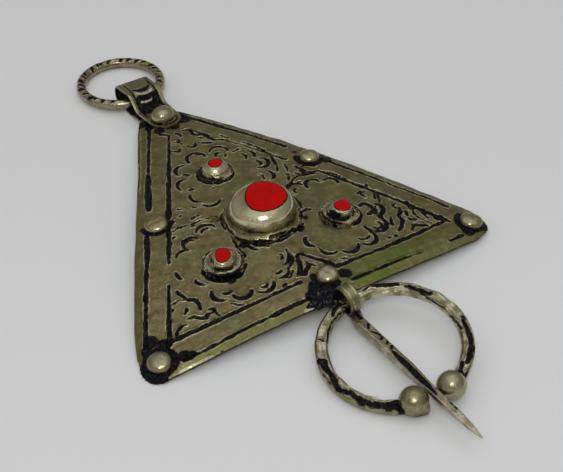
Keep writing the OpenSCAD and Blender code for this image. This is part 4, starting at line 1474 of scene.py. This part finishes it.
@dataclass
class PinRing:
    """Penannular ring: hammered bar, a ball at each end, and its solder on the plate."""

    middle: Row = (1.85, -24.6, 4.3)
    tilt_x: float = 4.8
    tilt_y: float = -7.9
    radius: float = 15.8
    bar_w: float = 3.0
    bar_t: float = 2.4
    chamfer: float = 0.5
    ball_r: float = 3.25
    # how far each end stands out past its ball, and how much wider it is
    end: float = 2.9
    flare: float = 0.3
    # hammer: spacing of its flats, how deep they are and how much they tilt
    flat_pitch: float = 5.0
    flat_depth: float = 0.14
    flat_tilt: float = 0.10
    # left and right ball's middle in the ring's frame, and how far each is rubbed bright
    balls: tuple[Row, Row] = ((-5.5, -14.5, 1.05), (3.3, -15.8, 0.8))
    ball_shine: tuple[float, float] = (0.55, 0.8)

    def stand(self) -> Matrix:
        """Place and tilt of the ring's own frame."""
        turn = Matrix.Rotation(math.radians(self.tilt_y), 4, "Y") @ Matrix.Rotation(
            math.radians(self.tilt_x), 4, "X"
        )
        return Matrix.Translation(self.middle) @ turn

    def marks(self) -> list[Stroke]:
        """Black hollows on the bar's upper face: x, y and half width in the ring's frame."""
        rows = (
            ((-6.6, 14.2, 0.3), (-5.2, 15.2, 0.5), (-3.4, 15.9, 0.45), (-2.2, 15.2, 0.3)),
            ((-11.4, 8.8, 0.08), (-9.4, 11.3, 0.12), (-7.4, 12.8, 0.14), (-4.0, 13.9, 0.16)),
            ((-12.5, 10.6, 0.2), (-12.0, 9.6, 0.2)),
            ((-15.9, 5.7, 0.6), (-15.2, 4.8, 0.9), (-15.7, 3.4, 0.7), (-15.7, 1.6, 0.45),
             (-16.0, -0.6, 0.55), (-16.5, -2.4, 0.5), (-15.9, -3.9, 0.55), (-14.9, -5.4, 0.6),
             (-14.5, -7.6, 0.65), (-13.3, -9.6, 0.6), (-11.6, -11.4, 0.8), (-9.8, -12.9, 1.1),
             (-7.6, -14.0, 1.3)),
            ((2.0, 16.1, 0.12), (3.4, 15.9, 0.2), (5.4, 16.2, 0.25)),
            ((5.6, 15.8, 0.4), (7.6, 14.4, 0.5), (10.0, 12.9, 0.5)),
            ((11.4, 11.4, 0.3), (12.4, 9.4, 0.5), (13.4, 7.8, 0.55), (14.4, 6.4, 0.4)),
            ((12.8, 7.6, 0.14), (13.7, 4.8, 0.16), (14.3, 1.6, 0.12), (14.4, -2.4, 0.12),
             (13.9, -5.4, 0.16)),
            ((16.2, -3.0, 0.3), (15.4, -4.4, 0.35), (14.8, -6.4, 0.5), (14.1, -8.6, 0.5),
             (12.8, -10.3, 0.55), (11.2, -12.0, 0.6), (9.6, -13.2, 0.45)),
            ((8.6, -12.6, 0.35), (7.2, -13.8, 0.4), (6.4, -15.0, 0.45)),
            ((8.4, -14.8, 0.2), (7.0, -15.8, 0.25)),
        )
        return [Stroke(points) for points in rows]

    def span(self) -> tuple[float, float]:
        """Directions of the right and of the left ball, in degrees, the way round that the bar goes."""
        left, right = self.balls
        first, last = (math.degrees(math.atan2(ball[1], ball[0])) for ball in (right, left))
        return first, last + 360

    def section(self) -> list[Row]:
        """Radius and height of each corner of the bar's chamfered section."""
        w, t, c, r = self.bar_w / 2, self.bar_t / 2, self.chamfer, self.radius
        return [
            (r - w + c, -t), (r + w - c, -t), (r + w, -t + c), (r + w, t - c),
            (r + w - c, t), (r - w + c, t), (r - w, t - c), (r - w, -t + c),
        ]

    def bent(self, places: np.ndarray) -> BarPlaces:
        """Straightens an evenly bent bar past each ball and widens it there.

        Args:
            places: Points of the even bar.

        Returns:
            The points in the ring's frame.
        """
        x, y, z = places.T.copy()
        start, end = self.span()
        turned = (np.degrees(np.arctan2(y, x)) - (start + end) / 2 + 180) % 360 - 180
        past = np.sign(turned) * np.maximum(np.abs(turned) - (end - start) / 2, 0)
        turn = np.radians(turned - past + (start + end) / 2)
        reach, run = np.hypot(x, y), np.radians(past) * self.radius
        x, y = reach * np.cos(turn) - run * np.sin(turn), reach * np.sin(turn) + run * np.cos(turn)
        to_ball = (end - start) / 2 - np.abs(turned)
        out = (reach - self.radius) * (1 + self.flare * soft_step(to_ball, 4.0, -2.0))
        upper = z > self.bar_t / 2 - self.chamfer - 0.05
        return BarPlaces(x, y, z, turn, reach, out, to_ball, upper)

    def paint_bar(self, work: Workpiece, at: BarPlaces, ink: np.ndarray) -> None:
        """Fills the bar's fields.

        Args:
            work: The bar.
            at: Its points.
            ink: Signed distance to its hollows.
        """
        x, y, z = at.x, at.y, at.z
        work.ink = np.where(at.upper, ink, np.maximum(ink, 0.1) + 0.5)
        bevel = soft_step(at.out, 0.9, 1.2) * soft_step(z, 0.2, 0.7)
        soot = 0.08 + 0.10 * ripple(x, y, 4.5, 42) + 0.15 * (z < -0.9)
        soot += 0.5 * bevel * soft_step(ripple(x, y, 2.6, 47), -0.2, 0.8)
        near_left, near_right = (np.hypot(x - ball[0], y - ball[1]) for ball in self.balls)
        black_end = soft_step(np.minimum(near_left, near_right), 4.6, 3.4) * soft_step(at.to_ball, 2.0, 5.0)
        work.soot = np.maximum(soot, black_end)
        # Bright streaks along the bar are painted highlight
        painted_streak = ripple(at.turn * self.radius * 0.25, at.out * 1.6, 1.7, 48)
        work.shine = 0.45 + 0.22 * ripple(x, y, 3.0, 43) + 0.6 * soft_step(painted_streak, 0.2, 0.9)
        work.stain = 0.25 * soft_step(at.out, 0.6, 1.3)

    def hammered(self, at: BarPlaces, ink: np.ndarray) -> np.ndarray:
        """Beats the bar into flats and sinks its hollows.

        Args:
            at: The bar's points.
            ink: Signed distance to its hollows.

        Returns:
            The new places.
        """
        wide = 1 - 0.05 * (1 + ripple(at.x, at.y, 4.4, 45)) * 0.6
        tall = 1 - 0.06 * (1 + ripple(at.x, at.y, 3.8, 44)) * 0.6
        thin = at.out * wide - (at.reach - self.radius)
        run = at.turn * self.radius
        beat = run / self.flat_pitch + 0.3 * ripple(run, at.out * 0, 12, 46)
        flats = self.flat_depth * (zigzag(beat) - 1) + self.flat_tilt * at.out * zigzag(beat * 0.7 + 0.3)
        sink = -0.2 * soft_step(ink, 0.15, -0.25) * at.upper + flats * (at.z > 0)
        x, y = at.x + np.cos(at.turn) * thin, at.y + np.sin(at.turn) * thin
        return np.stack([x, y, at.z * tall + sink], 1)

    def build_bar(self, silver: bpy.types.Material) -> None:
        """Bends the bar between its two square ends and hammers it.

        Args:
            silver: Its finish.
        """
        start, end = self.span()
        spare = math.degrees(self.end / self.radius)
        even = swept_tube(divided(self.section(), 5), end - start + 2 * spare, 280, False)
        work = Workpiece("hammered_hoop", even)
        work.stand(Matrix.Rotation(math.radians(start - spare), 4, "Z"))
        at = self.bent(work.places)
        waver_x, waver_y = (0.15 * ripple(at.x, at.y, 2.0, seed) for seed in (40, 41))
        ink = stroke_distance(at.x + waver_x, at.y + waver_y, self.marks())
        self.paint_bar(work, at, ink)
        work.places = self.hammered(at, ink)
        work.stand(self.stand())
        work.finish(Body.BROOCH, Slot.HOOP, silver, ["pin_ring"])

    def squared(self, x: np.ndarray, y: np.ndarray, up: np.ndarray, end: float, out: float) -> np.ndarray:
        """Draws a ball's lower half out to the bar's square end.

        Args:
            x: First coordinate of each point, from the ball's middle.
            y: Second coordinate of each point.
            up: Height of each point over the ball's middle.
            end: Direction of the bar's end, in radians.
            out: Direction away from the ring's middle, in radians.

        Returns:
            What each point's distance from the ball's axis grows by.
        """
        reach = np.maximum(np.hypot(x, y), 1e-6)
        to_end = (x * math.cos(end) + y * math.sin(end)) / reach
        to_out = (x * math.cos(out) + y * math.sin(out)) / reach
        share = soft_step(to_end + to_out, 0.2, 1.0) * soft_step(up, 0.4, -0.6)
        girth = np.sqrt(np.maximum(self.ball_r**2 - up**2, 1.0))
        half_end, half_out = 0.86 * self.ball_r, 0.8 * self.ball_r
        square = 1 / np.maximum(np.maximum(np.abs(to_end) / half_end, np.abs(to_out) / half_out), 0.29)
        return 1 + share * (square / girth - 1)

    def build_ball(self, index: int, name: str, silver: bpy.types.Material) -> None:
        """Turns one ball, cut flat where it is level with the bar's underside.

        Args:
            index: Which of the two balls.
            name: The piece's name.
            silver: Its finish.
        """
        at_x, at_y, at_z = self.balls[index]
        foot = -self.bar_t / 2
        meet = math.degrees(math.asin((foot - at_z) / self.ball_r))
        rows = [(0, foot)] + arc_rows((0, at_z), self.ball_r, meet, 90, 28)
        work = Workpiece(name, turned_blank(rows, 72))
        x, y, z = work.places.T.copy()
        bar_way = math.atan2(at_y, at_x) + (math.pi / 2 if index else -math.pi / 2)
        towards = x * math.cos(bar_way) + y * math.sin(bar_way)
        # The lower part of each ball is painted darker and less bright, as shade
        low = soft_step(z, at_z - 0.6, at_z - 2.4)
        work.soot = np.maximum(0.5 * low, soft_step(towards, 2.0, 3.0) * soft_step(z, 2.4, 1.2))
        work.soot += 0.05 + 0.08 * ripple(x, y, 3, 50 + index)
        work.shine = self.ball_shine[index] * (1 - low)
        dent = 1 + 0.008 * ripple(x, y + z, 2.6, 52 + index)
        if index == 0:
            dent = dent * self.squared(x, y, z - at_z, bar_way + math.pi, math.atan2(at_y, at_x))
        work.places = np.stack([x * dent, y * dent, z], 1)
        work.stand(self.stand() @ Matrix.Translation((at_x, at_y, 0)))
        work.finish(Body.BROOCH, Slot.HOOP, silver, ["pin_ring"])


@dataclass
class SolderRun:
    """Ragged black solder that holds the ring on the plate's lower edge."""

    middle: Row = (-2.7, -4.7, 5.0)
    tilt_x: float = 9.0
    size: Row = (4.4, 2.6, 0.95)

    def build(self, silver: bpy.types.Material) -> None:
        """Flattens one closed lump and draws its edge out into tongues.

        Args:
            silver: Its finish.
        """
        blank = bmesh.new()
        bmesh.ops.create_icosphere(blank, subdivisions=6, radius=1.0)
        work = Workpiece("ragged_solder", blank)
        x, y, z = work.places.T.copy()
        size_x, size_y, size_z = self.size
        angle, reach = np.arctan2(y, x), np.hypot(x, y)
        edge = 1 + 0.17 * ripple(3 * np.cos(angle), 3 * np.sin(angle), 2.2, 66) * reach
        x, y = x * size_x * edge, y * size_y * edge
        end = 0.85 + 6.0 * soft_step(y, -0.9, 0.1)
        x = np.where(x > end, end + 0.03 * (x - end), x)
        # Bright flecks in the black solder are painted highlights
        painted_fleck = soft_step(ripple(x, y * 0.5, 1.1, 61), 0.85, 1.25)
        work.soot = (1.1 + 0.25 * ripple(x, y, 1.8, 60)) * (1 - painted_fleck)
        work.shine = 0.9 * painted_fleck
        crust = 0.09 * ripple(x, y * 0.4, 1.9, 62) + 0.04 * ripple(x, y * 0.3, 0.9, 64)
        work.places = np.stack([x, y, z * size_z + crust * (z > 0) * soft_step(reach, 1.0, 0.8)], 1)
        lean = Matrix.Rotation(math.radians(self.tilt_x), 4, "X")
        work.stand(Matrix.Translation(self.middle) @ lean)
        work.finish(Body.BROOCH, Slot.HOOP, silver, ["pin_ring"])


@dataclass
class Pin:
    """Pin with a head rolled round the ring, a square shank and a long black groove."""

    ring: PinRing
    # head's middle across the ring and over the bar's, its turn and the shank's rise in degrees
    side: float = -1.2
    lift: float = 1.25
    yaw: float = 1.4
    rise: float = 7.45
    bore_r: float = 2.85
    strip_t: float = 0.6
    head_w: float = 3.1
    soft: float = 0.14
    # bands along the head painted bright as highlight: distance from its middle, and where each fades
    highlight_bands: tuple[Row, Row] = ((-0.55, 0.22, 0.08), (1.2, 0.3, 0.1))
    length: float = 47.0
    twist: float = 12.0
    # shank: distance from the head, width, height, and x and z of its middle
    sections: tuple[Row, ...] = (
        (0, 3.1, 0.6, 0, 0), (2.6, 3.1, 0.8, -0.1, 0), (5, 2.5, 2.2, -0.6, -0.75),
        (24, 2.5, 2.2, -0.6, -0.75), (31, 1.75, 1.7, -0.6, -0.75), (39, 1.7, 1.6, -0.6, -0.75),
        (43.5, 1.25, 1.1, -0.6, -0.75), (47, 0.3, 0.3, -0.6, -0.75),
    )

    def stand(self) -> Matrix:
        """Place of the rolled head's middle."""
        along = math.sqrt(self.ring.radius**2 - self.side**2)
        turn = Matrix.Rotation(math.radians(self.yaw), 4, "Z")
        return self.ring.stand() @ Matrix.Translation((self.side, along, self.lift)) @ turn

    def marks(self) -> list[Stroke]:
        """Groove, chevrons and edge lines on the shank's upper face: run, side and half width."""
        rows = (
            ((17.0, -0.75, 0.2), (18.4, -0.85, 0.5), (20.4, -0.95, 0.78), (25.0, -0.85, 0.8),
             (29.4, -0.75, 0.62), (31.6, -0.8, 0.36), (33.0, -0.9, 0.06)),
            ((1.4, 0.35, 0.2), (3.0, 0.0, 0.45), (4.6, -0.1, 0.5)),
            ((6.9, 0.4, 0.26), (7.4, -0.2, 0.36), (8.3, -0.8, 0.24)),
            ((9.8, -0.7, 0.26), (10.6, -0.2, 0.36), (11.6, 0.2, 0.28)),
            ((12.2, 0.1, 0.24), (12.8, -0.6, 0.32)),
            ((14.0, 0.3, 0.26), (14.6, -0.4, 0.34)),
            ((15.7, 0.1, 0.3), (16.4, -0.5, 0.3)),
            ((36.2, 0.1, 0.22), (36.8, 0.05, 0.22)),
            ((37.7, 0.05, 0.2), (38.3, 0.0, 0.2)),
        )
        return [Stroke(points) for points in rows]

    def shank_blank(self) -> bmesh.types.BMesh:
        """Round bar of unit radius, cut into even steps along its length."""
        steps, walls = 210, 64
        blank = bmesh.new()
        bmesh.ops.create_circle(
            blank, segments=walls, radius=1.0, matrix=Matrix.Rotation(math.pi / 2, 4, "X")
        )
        bmesh.ops.spin(
            blank, geom=blank.verts[:] + blank.edges[:], cent=(0, 0, 0), axis=(0, 1, 0), angle=0.0,
            dvec=(0, -self.length / steps, 0), steps=steps, use_merge=False, use_duplicate=False,
        )
        bmesh.ops.holes_fill(blank, edges=[e for e in blank.edges if e.is_boundary], sides=0)
        return blank

    def build_shank(self, silver: bpy.types.Material) -> None:
        """Draws the shank down to its point and cuts its groove.

        Args:
            silver: Its finish.
        """
        work = Workpiece("pin_shank", self.shank_blank())
        x, y, z = work.places.T.copy()
        run = -y
        stations, *columns = np.array(self.sections).T
        wide, tall, mid_x, mid_z = (np.interp(run, stations, column) for column in columns)
        square = np.maximum(np.maximum(np.abs(x), np.abs(z)), 1e-6)
        rounded = (np.abs(x / square) ** 9 + np.abs(z / square) ** 9) ** (1 / 9)
        shape_x, shape_z = x / square / rounded, z / square / rounded
        side = mid_x + shape_x * wide / 2
        upper = shape_z > 0.9
        ink = stroke_distance(run, side + 0.04 * ripple(run, side, 1.5, 70), self.marks())
        work.ink = np.where(upper, ink, np.maximum(ink, 0) + 0.4)
        start = soft_step(run, 5.5, 3.0)
        soot = 0.06 + 0.1 * ripple(run, side + z, 5, 71) + 0.4 * start + 0.2 * (shape_z < -0.9)
        work.soot = soot
        worn_edge = upper * soft_step(shape_x, -0.6, -0.95) * soft_step(run, 4, 8)
        shine = 0.4 + 0.2 * ripple(run, side, 3.5, 72) + 0.15 * soft_step(run, 33, 38)
        work.shine = shine + 0.4 * worn_edge
        hammer = 1 - 0.03 * (1 + ripple(run, side * 0.2, 3.2, 73))
        groove = -0.14 * soft_step(ink, 0.15, -0.25) * upper
        across, up = (side - mid_x) * hammer, shape_z * tall / 2 * hammer + groove
        roll = np.radians(self.twist) * soft_step(run, 2.0, 6.0) * soft_step(run, 27.0, 22.0)
        side = mid_x + across * np.cos(roll) + up * np.sin(roll)
        level = mid_z + up * np.cos(roll) - across * np.sin(roll)
        work.places = np.stack([side, y, level], 1)
        drop = Matrix.Translation((0, 0, -self.bore_r - self.strip_t / 2))
        work.stand(self.stand() @ drop @ Matrix.Rotation(math.radians(-self.rise), 4, "X"))
        work.finish(Body.PIN, Slot.PIN, silver, ["pin"], sharp=30.0)

    def build_head(self, silver: bpy.types.Material) -> None:
        """Rolls the head round the ring's bar.

        Args:
            silver: Its finish.
        """
        half, inner, outer, soft = self.head_w / 2, self.bore_r, self.bore_r + self.strip_t, self.soft
        corners = [
            (inner, -half + soft), (inner, half - soft), (inner + soft, half), (outer - soft, half),
            (outer, half - soft), (outer, -half + soft), (outer - soft, -half), (inner + soft, -half),
        ]
        work = Workpiece("rolled_head", swept_tube(divided(corners, 12), 360, 120, True))
        work.stand(Matrix.Rotation(math.pi / 2, 4, "Y"))
        x, y, z = work.places.T.copy()
        radius, around = np.hypot(y, z), np.arctan2(z, y)
        outside = radius > self.bore_r + self.strip_t / 2
        work.soot = np.where(outside, 0.1 + 0.12 * ripple(around * 3, x, 3, 80), 0.8)
        work.soot += 0.3 * soft_step(np.abs(x), half - 0.35, half)
        work.shine = np.where(outside, 0.3, 0)
        work.stain = np.where(outside, 0.3, 0)
        wide = 1 - 0.03 * (1 + ripple(around * 3, np.zeros(len(x)), 5, 81))
        highlight_bands = sum(soft_step(np.abs(x - middle), low, high) for middle, low, high in self.highlight_bands)
        # Bands on the head painted bright as highlight
        work.shine += 0.45 * highlight_bands * outside
        lower = 1 - 0.015 * (1 - np.clip(highlight_bands, 0, 1)) * outside * soft_step(np.abs(x), half, half - 0.4)
        work.places = np.stack([x * wide, y * lower, z * lower], 1)
        work.stand(self.stand())
        work.finish(Body.PIN, Slot.PIN, silver, ["pin"])


@dataclass(frozen=True)
class Studio:
    """Pale floor, soft light and the camera, in millimetres of the frame."""

    camera_at: Row = (-124.25, -213.21, 208.4)
    look_at: Row = (1.80, -7.83, 2.47)
    roll: float = -0.76
    lens: float = 84.67
    key_azimuth: float = -31.5
    key_elevation: float = 49.0
    key_distance: float = 700.0
    key_size: float = 240.0
    key_radiance: float = 6.5
    far_wall: RGB = (0.30, 0.29, 0.25)
    near_wall: RGB = (0.34, 0.32, 0.28)
    skirting: RGB = (0.12, 0.11, 0.095)
    bright_side: RGB = (0.50, 0.49, 0.46)
    ceiling: RGB = (0.85, 0.86, 0.88)

    def lay_floor(self, finish: PaleFloorFinish) -> None:
        """Lays the floor just under the plate's corners."""
        blank = bmesh.new()
        bmesh.ops.create_grid(blank, x_segments=8, y_segments=8, size=2.0)
        mesh = bpy.data.meshes.new("pale_floor")
        blank.to_mesh(mesh)
        blank.free()
        mesh.transform(Matrix.Translation((0, 0, -0.05 * MM)))
        mesh.materials.append(finish.make())
        floor = bpy.data.objects.new("pale_floor", mesh)
        bpy.context.scene.collection.objects.link(floor)
        floor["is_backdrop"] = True

    def light(self) -> None:
        """Sets the even sky and one soft lamp behind the camera."""
        world = bpy.data.worlds.new("soft_sky")
        world.use_nodes = True
        bench = NodeBench(world.node_tree, "Generated")
        azimuth = math.radians(self.key_azimuth)
        behind = bench.along(Vector((math.sin(azimuth), -math.cos(azimuth), 0)))
        walls = bench.mix(bench.spread(behind, -0.4, 0.4), self.far_wall, self.near_wall)
        up = bench.along(Vector((0, 0, 1)))
        low = bench.mix(bench.spread(behind, -0.1, 0.6), self.skirting, self.bright_side)
        walls = bench.mix(bench.spread(up, 0.0, 0.38), low, walls)
        sky = bench.mix(bench.spread(up, 0.55, 1.0), walls, self.ceiling)
        background = bench.tree.nodes.new("ShaderNodeBackground")
        bench.feed(background.inputs["Color"], sky)
        output = bench.tree.nodes.new("ShaderNodeOutputWorld")
        bench.tree.links.new(background.outputs["Background"], output.inputs["Surface"])
        bpy.context.scene.world = world
        size = self.key_size * MM
        lamp = bpy.data.lights.new("soft_lamp", "AREA")
        lamp.shape = "DISK"
        lamp.size = size
        lamp.energy = self.key_radiance * math.pi * math.pi * size * size / 4
        elevation = math.radians(self.key_elevation)
        towards = Vector((
            math.sin(azimuth) * math.cos(elevation), -math.cos(azimuth) * math.cos(elevation),
            math.sin(elevation),
        ))
        holder = bpy.data.objects.new("soft_lamp", lamp)
        holder.location = towards * self.key_distance * MM
        holder.rotation_mode = "QUATERNION"
        holder.rotation_quaternion = (-towards).to_track_quat("-Z", "Y")
        bpy.context.scene.collection.objects.link(holder)

    def aim_camera(self) -> None:
        """Makes the camera at the photograph's angle."""
        camera = bpy.data.cameras.new("camera")
        camera.type = "PERSP"
        camera.sensor_width = 36.0
        camera.lens = self.lens
        camera.clip_start = 0.01
        holder = bpy.data.objects.new("camera", camera)
        place, target = Vector(self.camera_at) * MM, Vector(self.look_at) * MM
        facing = (target - place).to_track_quat("-Z", "Y").to_matrix().to_4x4()
        holder.matrix_world = Matrix.Translation(place) @ facing @ Matrix.Rotation(
            math.radians(self.roll), 4, "Z"
        )
        bpy.context.scene.collection.objects.link(holder)
        bpy.context.scene.camera = holder
        bpy.context.scene.view_settings.view_transform = "Standard"


@dataclass(frozen=True)
class Finishes:
    """The finish of each kind of piece."""

    sheet: SilverFinish = SilverFinish(
        "chased_silver", bright=(0.64, 0.595, 0.40), rubbed=0.24, mottle=0.75, dent=0.07, lip_painted_highlight=0.9,
    )
    dome: SilverFinish = SilverFinish(
        "dome_silver", bright=(0.70, 0.645, 0.45), rubbed=0.42, mottle=0.5, roughness=0.25, dent=0.03,
        pitted=0.25,
    )
    rivet: SilverFinish = SilverFinish(
        "rivet_silver", bright=DULL_SILVER, rubbed=0.25, mottle=0.6, roughness=0.28, dent=0.05, pitted=0.3,
    )
    strap: SilverFinish = SilverFinish("strap_silver", rubbed=0.42, roughness=0.32, dent=0.03)
    wire: SilverFinish = SilverFinish(
        "wire_silver", brown=(0.22, 0.115, 0.075), rubbed=0.3, mottle=0.7, roughness=0.25, dent=0.03,
        lip_painted_highlight=0.9,
    )
    hoop: SilverFinish = SilverFinish(
        "hoop_silver", bright=(0.575, 0.54, 0.395), rubbed=0.3, mottle=0.6, roughness=0.28, dent=0.06,
        lip_painted_highlight=0.9, pitted=0.3,
    )
    ball: SilverFinish = SilverFinish(
        "ball_silver", bright=DULL_SILVER, rubbed=0.25, mottle=0.5, roughness=0.30, dent=0.03, pitted=0.3,
    )
    solder: SilverFinish = SilverFinish(
        "black_solder", painted_sheen=(0.13, 0.14, 0.18), roughness=0.36, dent=0.05, crust=0.05,
    )
    pin: SilverFinish = SilverFinish(
        "pin_silver", bright=(0.63, 0.595, 0.46), film=(0.29, 0.26, 0.165), brown=(0.22, 0.155, 0.10),
        rubbed=0.25, mottle=0.6, roughness=0.30, dent=0.05, lip=0.03, lip_painted_highlight=0.3, pitted=0.3,
        ragged=0.25,
    )
    stone: StoneFinish = StoneFinish()

    def make(self) -> dict[str, bpy.types.Material]:
        """Builds every material, by the name of its field."""
        return {kind: finish.make() for kind, finish in vars(self).items()}


@dataclass
class Fibula:
    """The whole brooch, from its driving sizes to its dressed pieces."""

    crown: Crown = Crown()
    finishes: Finishes = Finishes()
    settings: tuple[Setting, ...] = (
        Setting(
            "centre", -0.8, 26, 9.3, 0.8, 8.1, 0.2, 5.1, 5.2, 7.0, (
                (9.25, 150, 44, 0.2), (9.25, 224, 30, 0.26), (9.2, 262, 38, 0.34), (8.6, 250, 34, 0.12),
                (9.2, 318, 26, 0.12),
            ), (0.044, -30, 0.7, -0.36, 0.09, 0.04), steps=192, belly=0.05, foot_fall=0.45,
            foot_soot=0.10, foot_dull=0.8,
        ),
        Setting(
            "upper", -1.2, 47.6, 4.3, 0.5, 3.7, 0, 1.9, 2.3, 3.3, (
                (3.9, 108, 100, 0.34), (3.9, 212, 62, 0.2), (4.1, -44, 74, 0.12), (3.45, -30, 60, 0.08),
            ), (0.04, 10, 0.1, 0.0, 0.05, -0.12),
        ),
        Setting(
            "left", -16.8, 16.7, 4.9, 1.2, 3.7, 0.3, 2.0, 2.7, 3.8, (
                (3.45, 196, 108, 0.2), (4.75, 186, 116, 0.4), (4.6, -62, 72, 0.16), (4.6, 60, 112, 0.14),
                (3.4, -20, 90, 0.12), (2.9, 150, 40, 0.14),
            ), (0.04, 100, 0.0, -0.4, 0.14, -0.02),
        ),
        Setting(
            "right", 15.6, 17.1, 4.7, 1.0, 3.4, 0.3, 1.9, 2.5, 3.5, (
                (3.3, 160, 130, 0.42), (4.4, 150, 100, 0.34), (3.4, 300, 54, 0.26), (4.4, -34, 64, 0.2),
                (2.7, 175, 60, 0.3), (4.5, 70, 60, 0.12),
            ), (0.05, 170, 0.5, -0.3, 0.08, 0.06),
        ),
    )
    rivets: tuple[Rivet, ...] = (
        Rivet("apex", -0.2, 77.3, 6.3, 2.9, strap=0.85, fullness=2.4, painted_highlight=0.6, seed=101),
        Rivet("upper_right", 22.3, 40.8, 5.4, 1.7, fullness=2.4, seed=111),
        Rivet("right", 43, 0.4, 5.7, 1.7, fullness=2.5, tip_y=-0.04, seed=121),
        Rivet("lower", 1.2, 0.8, 5.4, 1.7, fullness=2.6, tip_x=0.05, seed=131),
        Rivet("left", -42.5, -0.2, 5.7, 1.7, fullness=2.5, seed=141),
        Rivet(
            "upper_left", -22.9, 38, 5.8, 1.6, fullness=3.4, tip_x=0.05, tip_y=0.05, dull=0.35, painted_highlight=0.9,
            seed=151,
        ),
    )

    def build(self) -> None:
        """Makes the finishes and every piece, in the order that a maker would."""
        made = self.finishes.make()
        ChasedSheet(self.crown).build(made["sheet"])
        for setting in self.settings:
            setting.build(self.crown, made["dome"])
            setting.set_stone(self.crown, made["stone"])
        for rivet in self.rivets:
            rivet.build(self.crown, made["rivet"])
        Bail(self.crown).build(made["strap"])
        SuspensionRing().build(made["wire"])
        ring = PinRing()
        ring.build_bar(made["hoop"])
        for index, name in enumerate(("left_ball", "right_ball")):
            ring.build_ball(index, name, made["ball"])
        SolderRun().build(made["solder"])
        pin = Pin(ring)
        pin.build_shank(made["pin"])
        pin.build_head(made["pin"])


def main() -> None:
    logging.basicConfig(level=logging.INFO, format="%(name)s %(message)s")
    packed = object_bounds()
    Fibula().build()
    studio = Studio()
    studio.lay_floor(PaleFloorFinish())
    studio.light()
    studio.aim_camera()
    sizes = {"packed": [list(c) for c in packed], "dressed": [list(c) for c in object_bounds()]}
    for kind, box in sizes.items():
        log.info("%s box in millimetres: %s", kind, [[round(v / MM, 2) for v in c] for c in box])


if __name__ == "__main__":
    main()
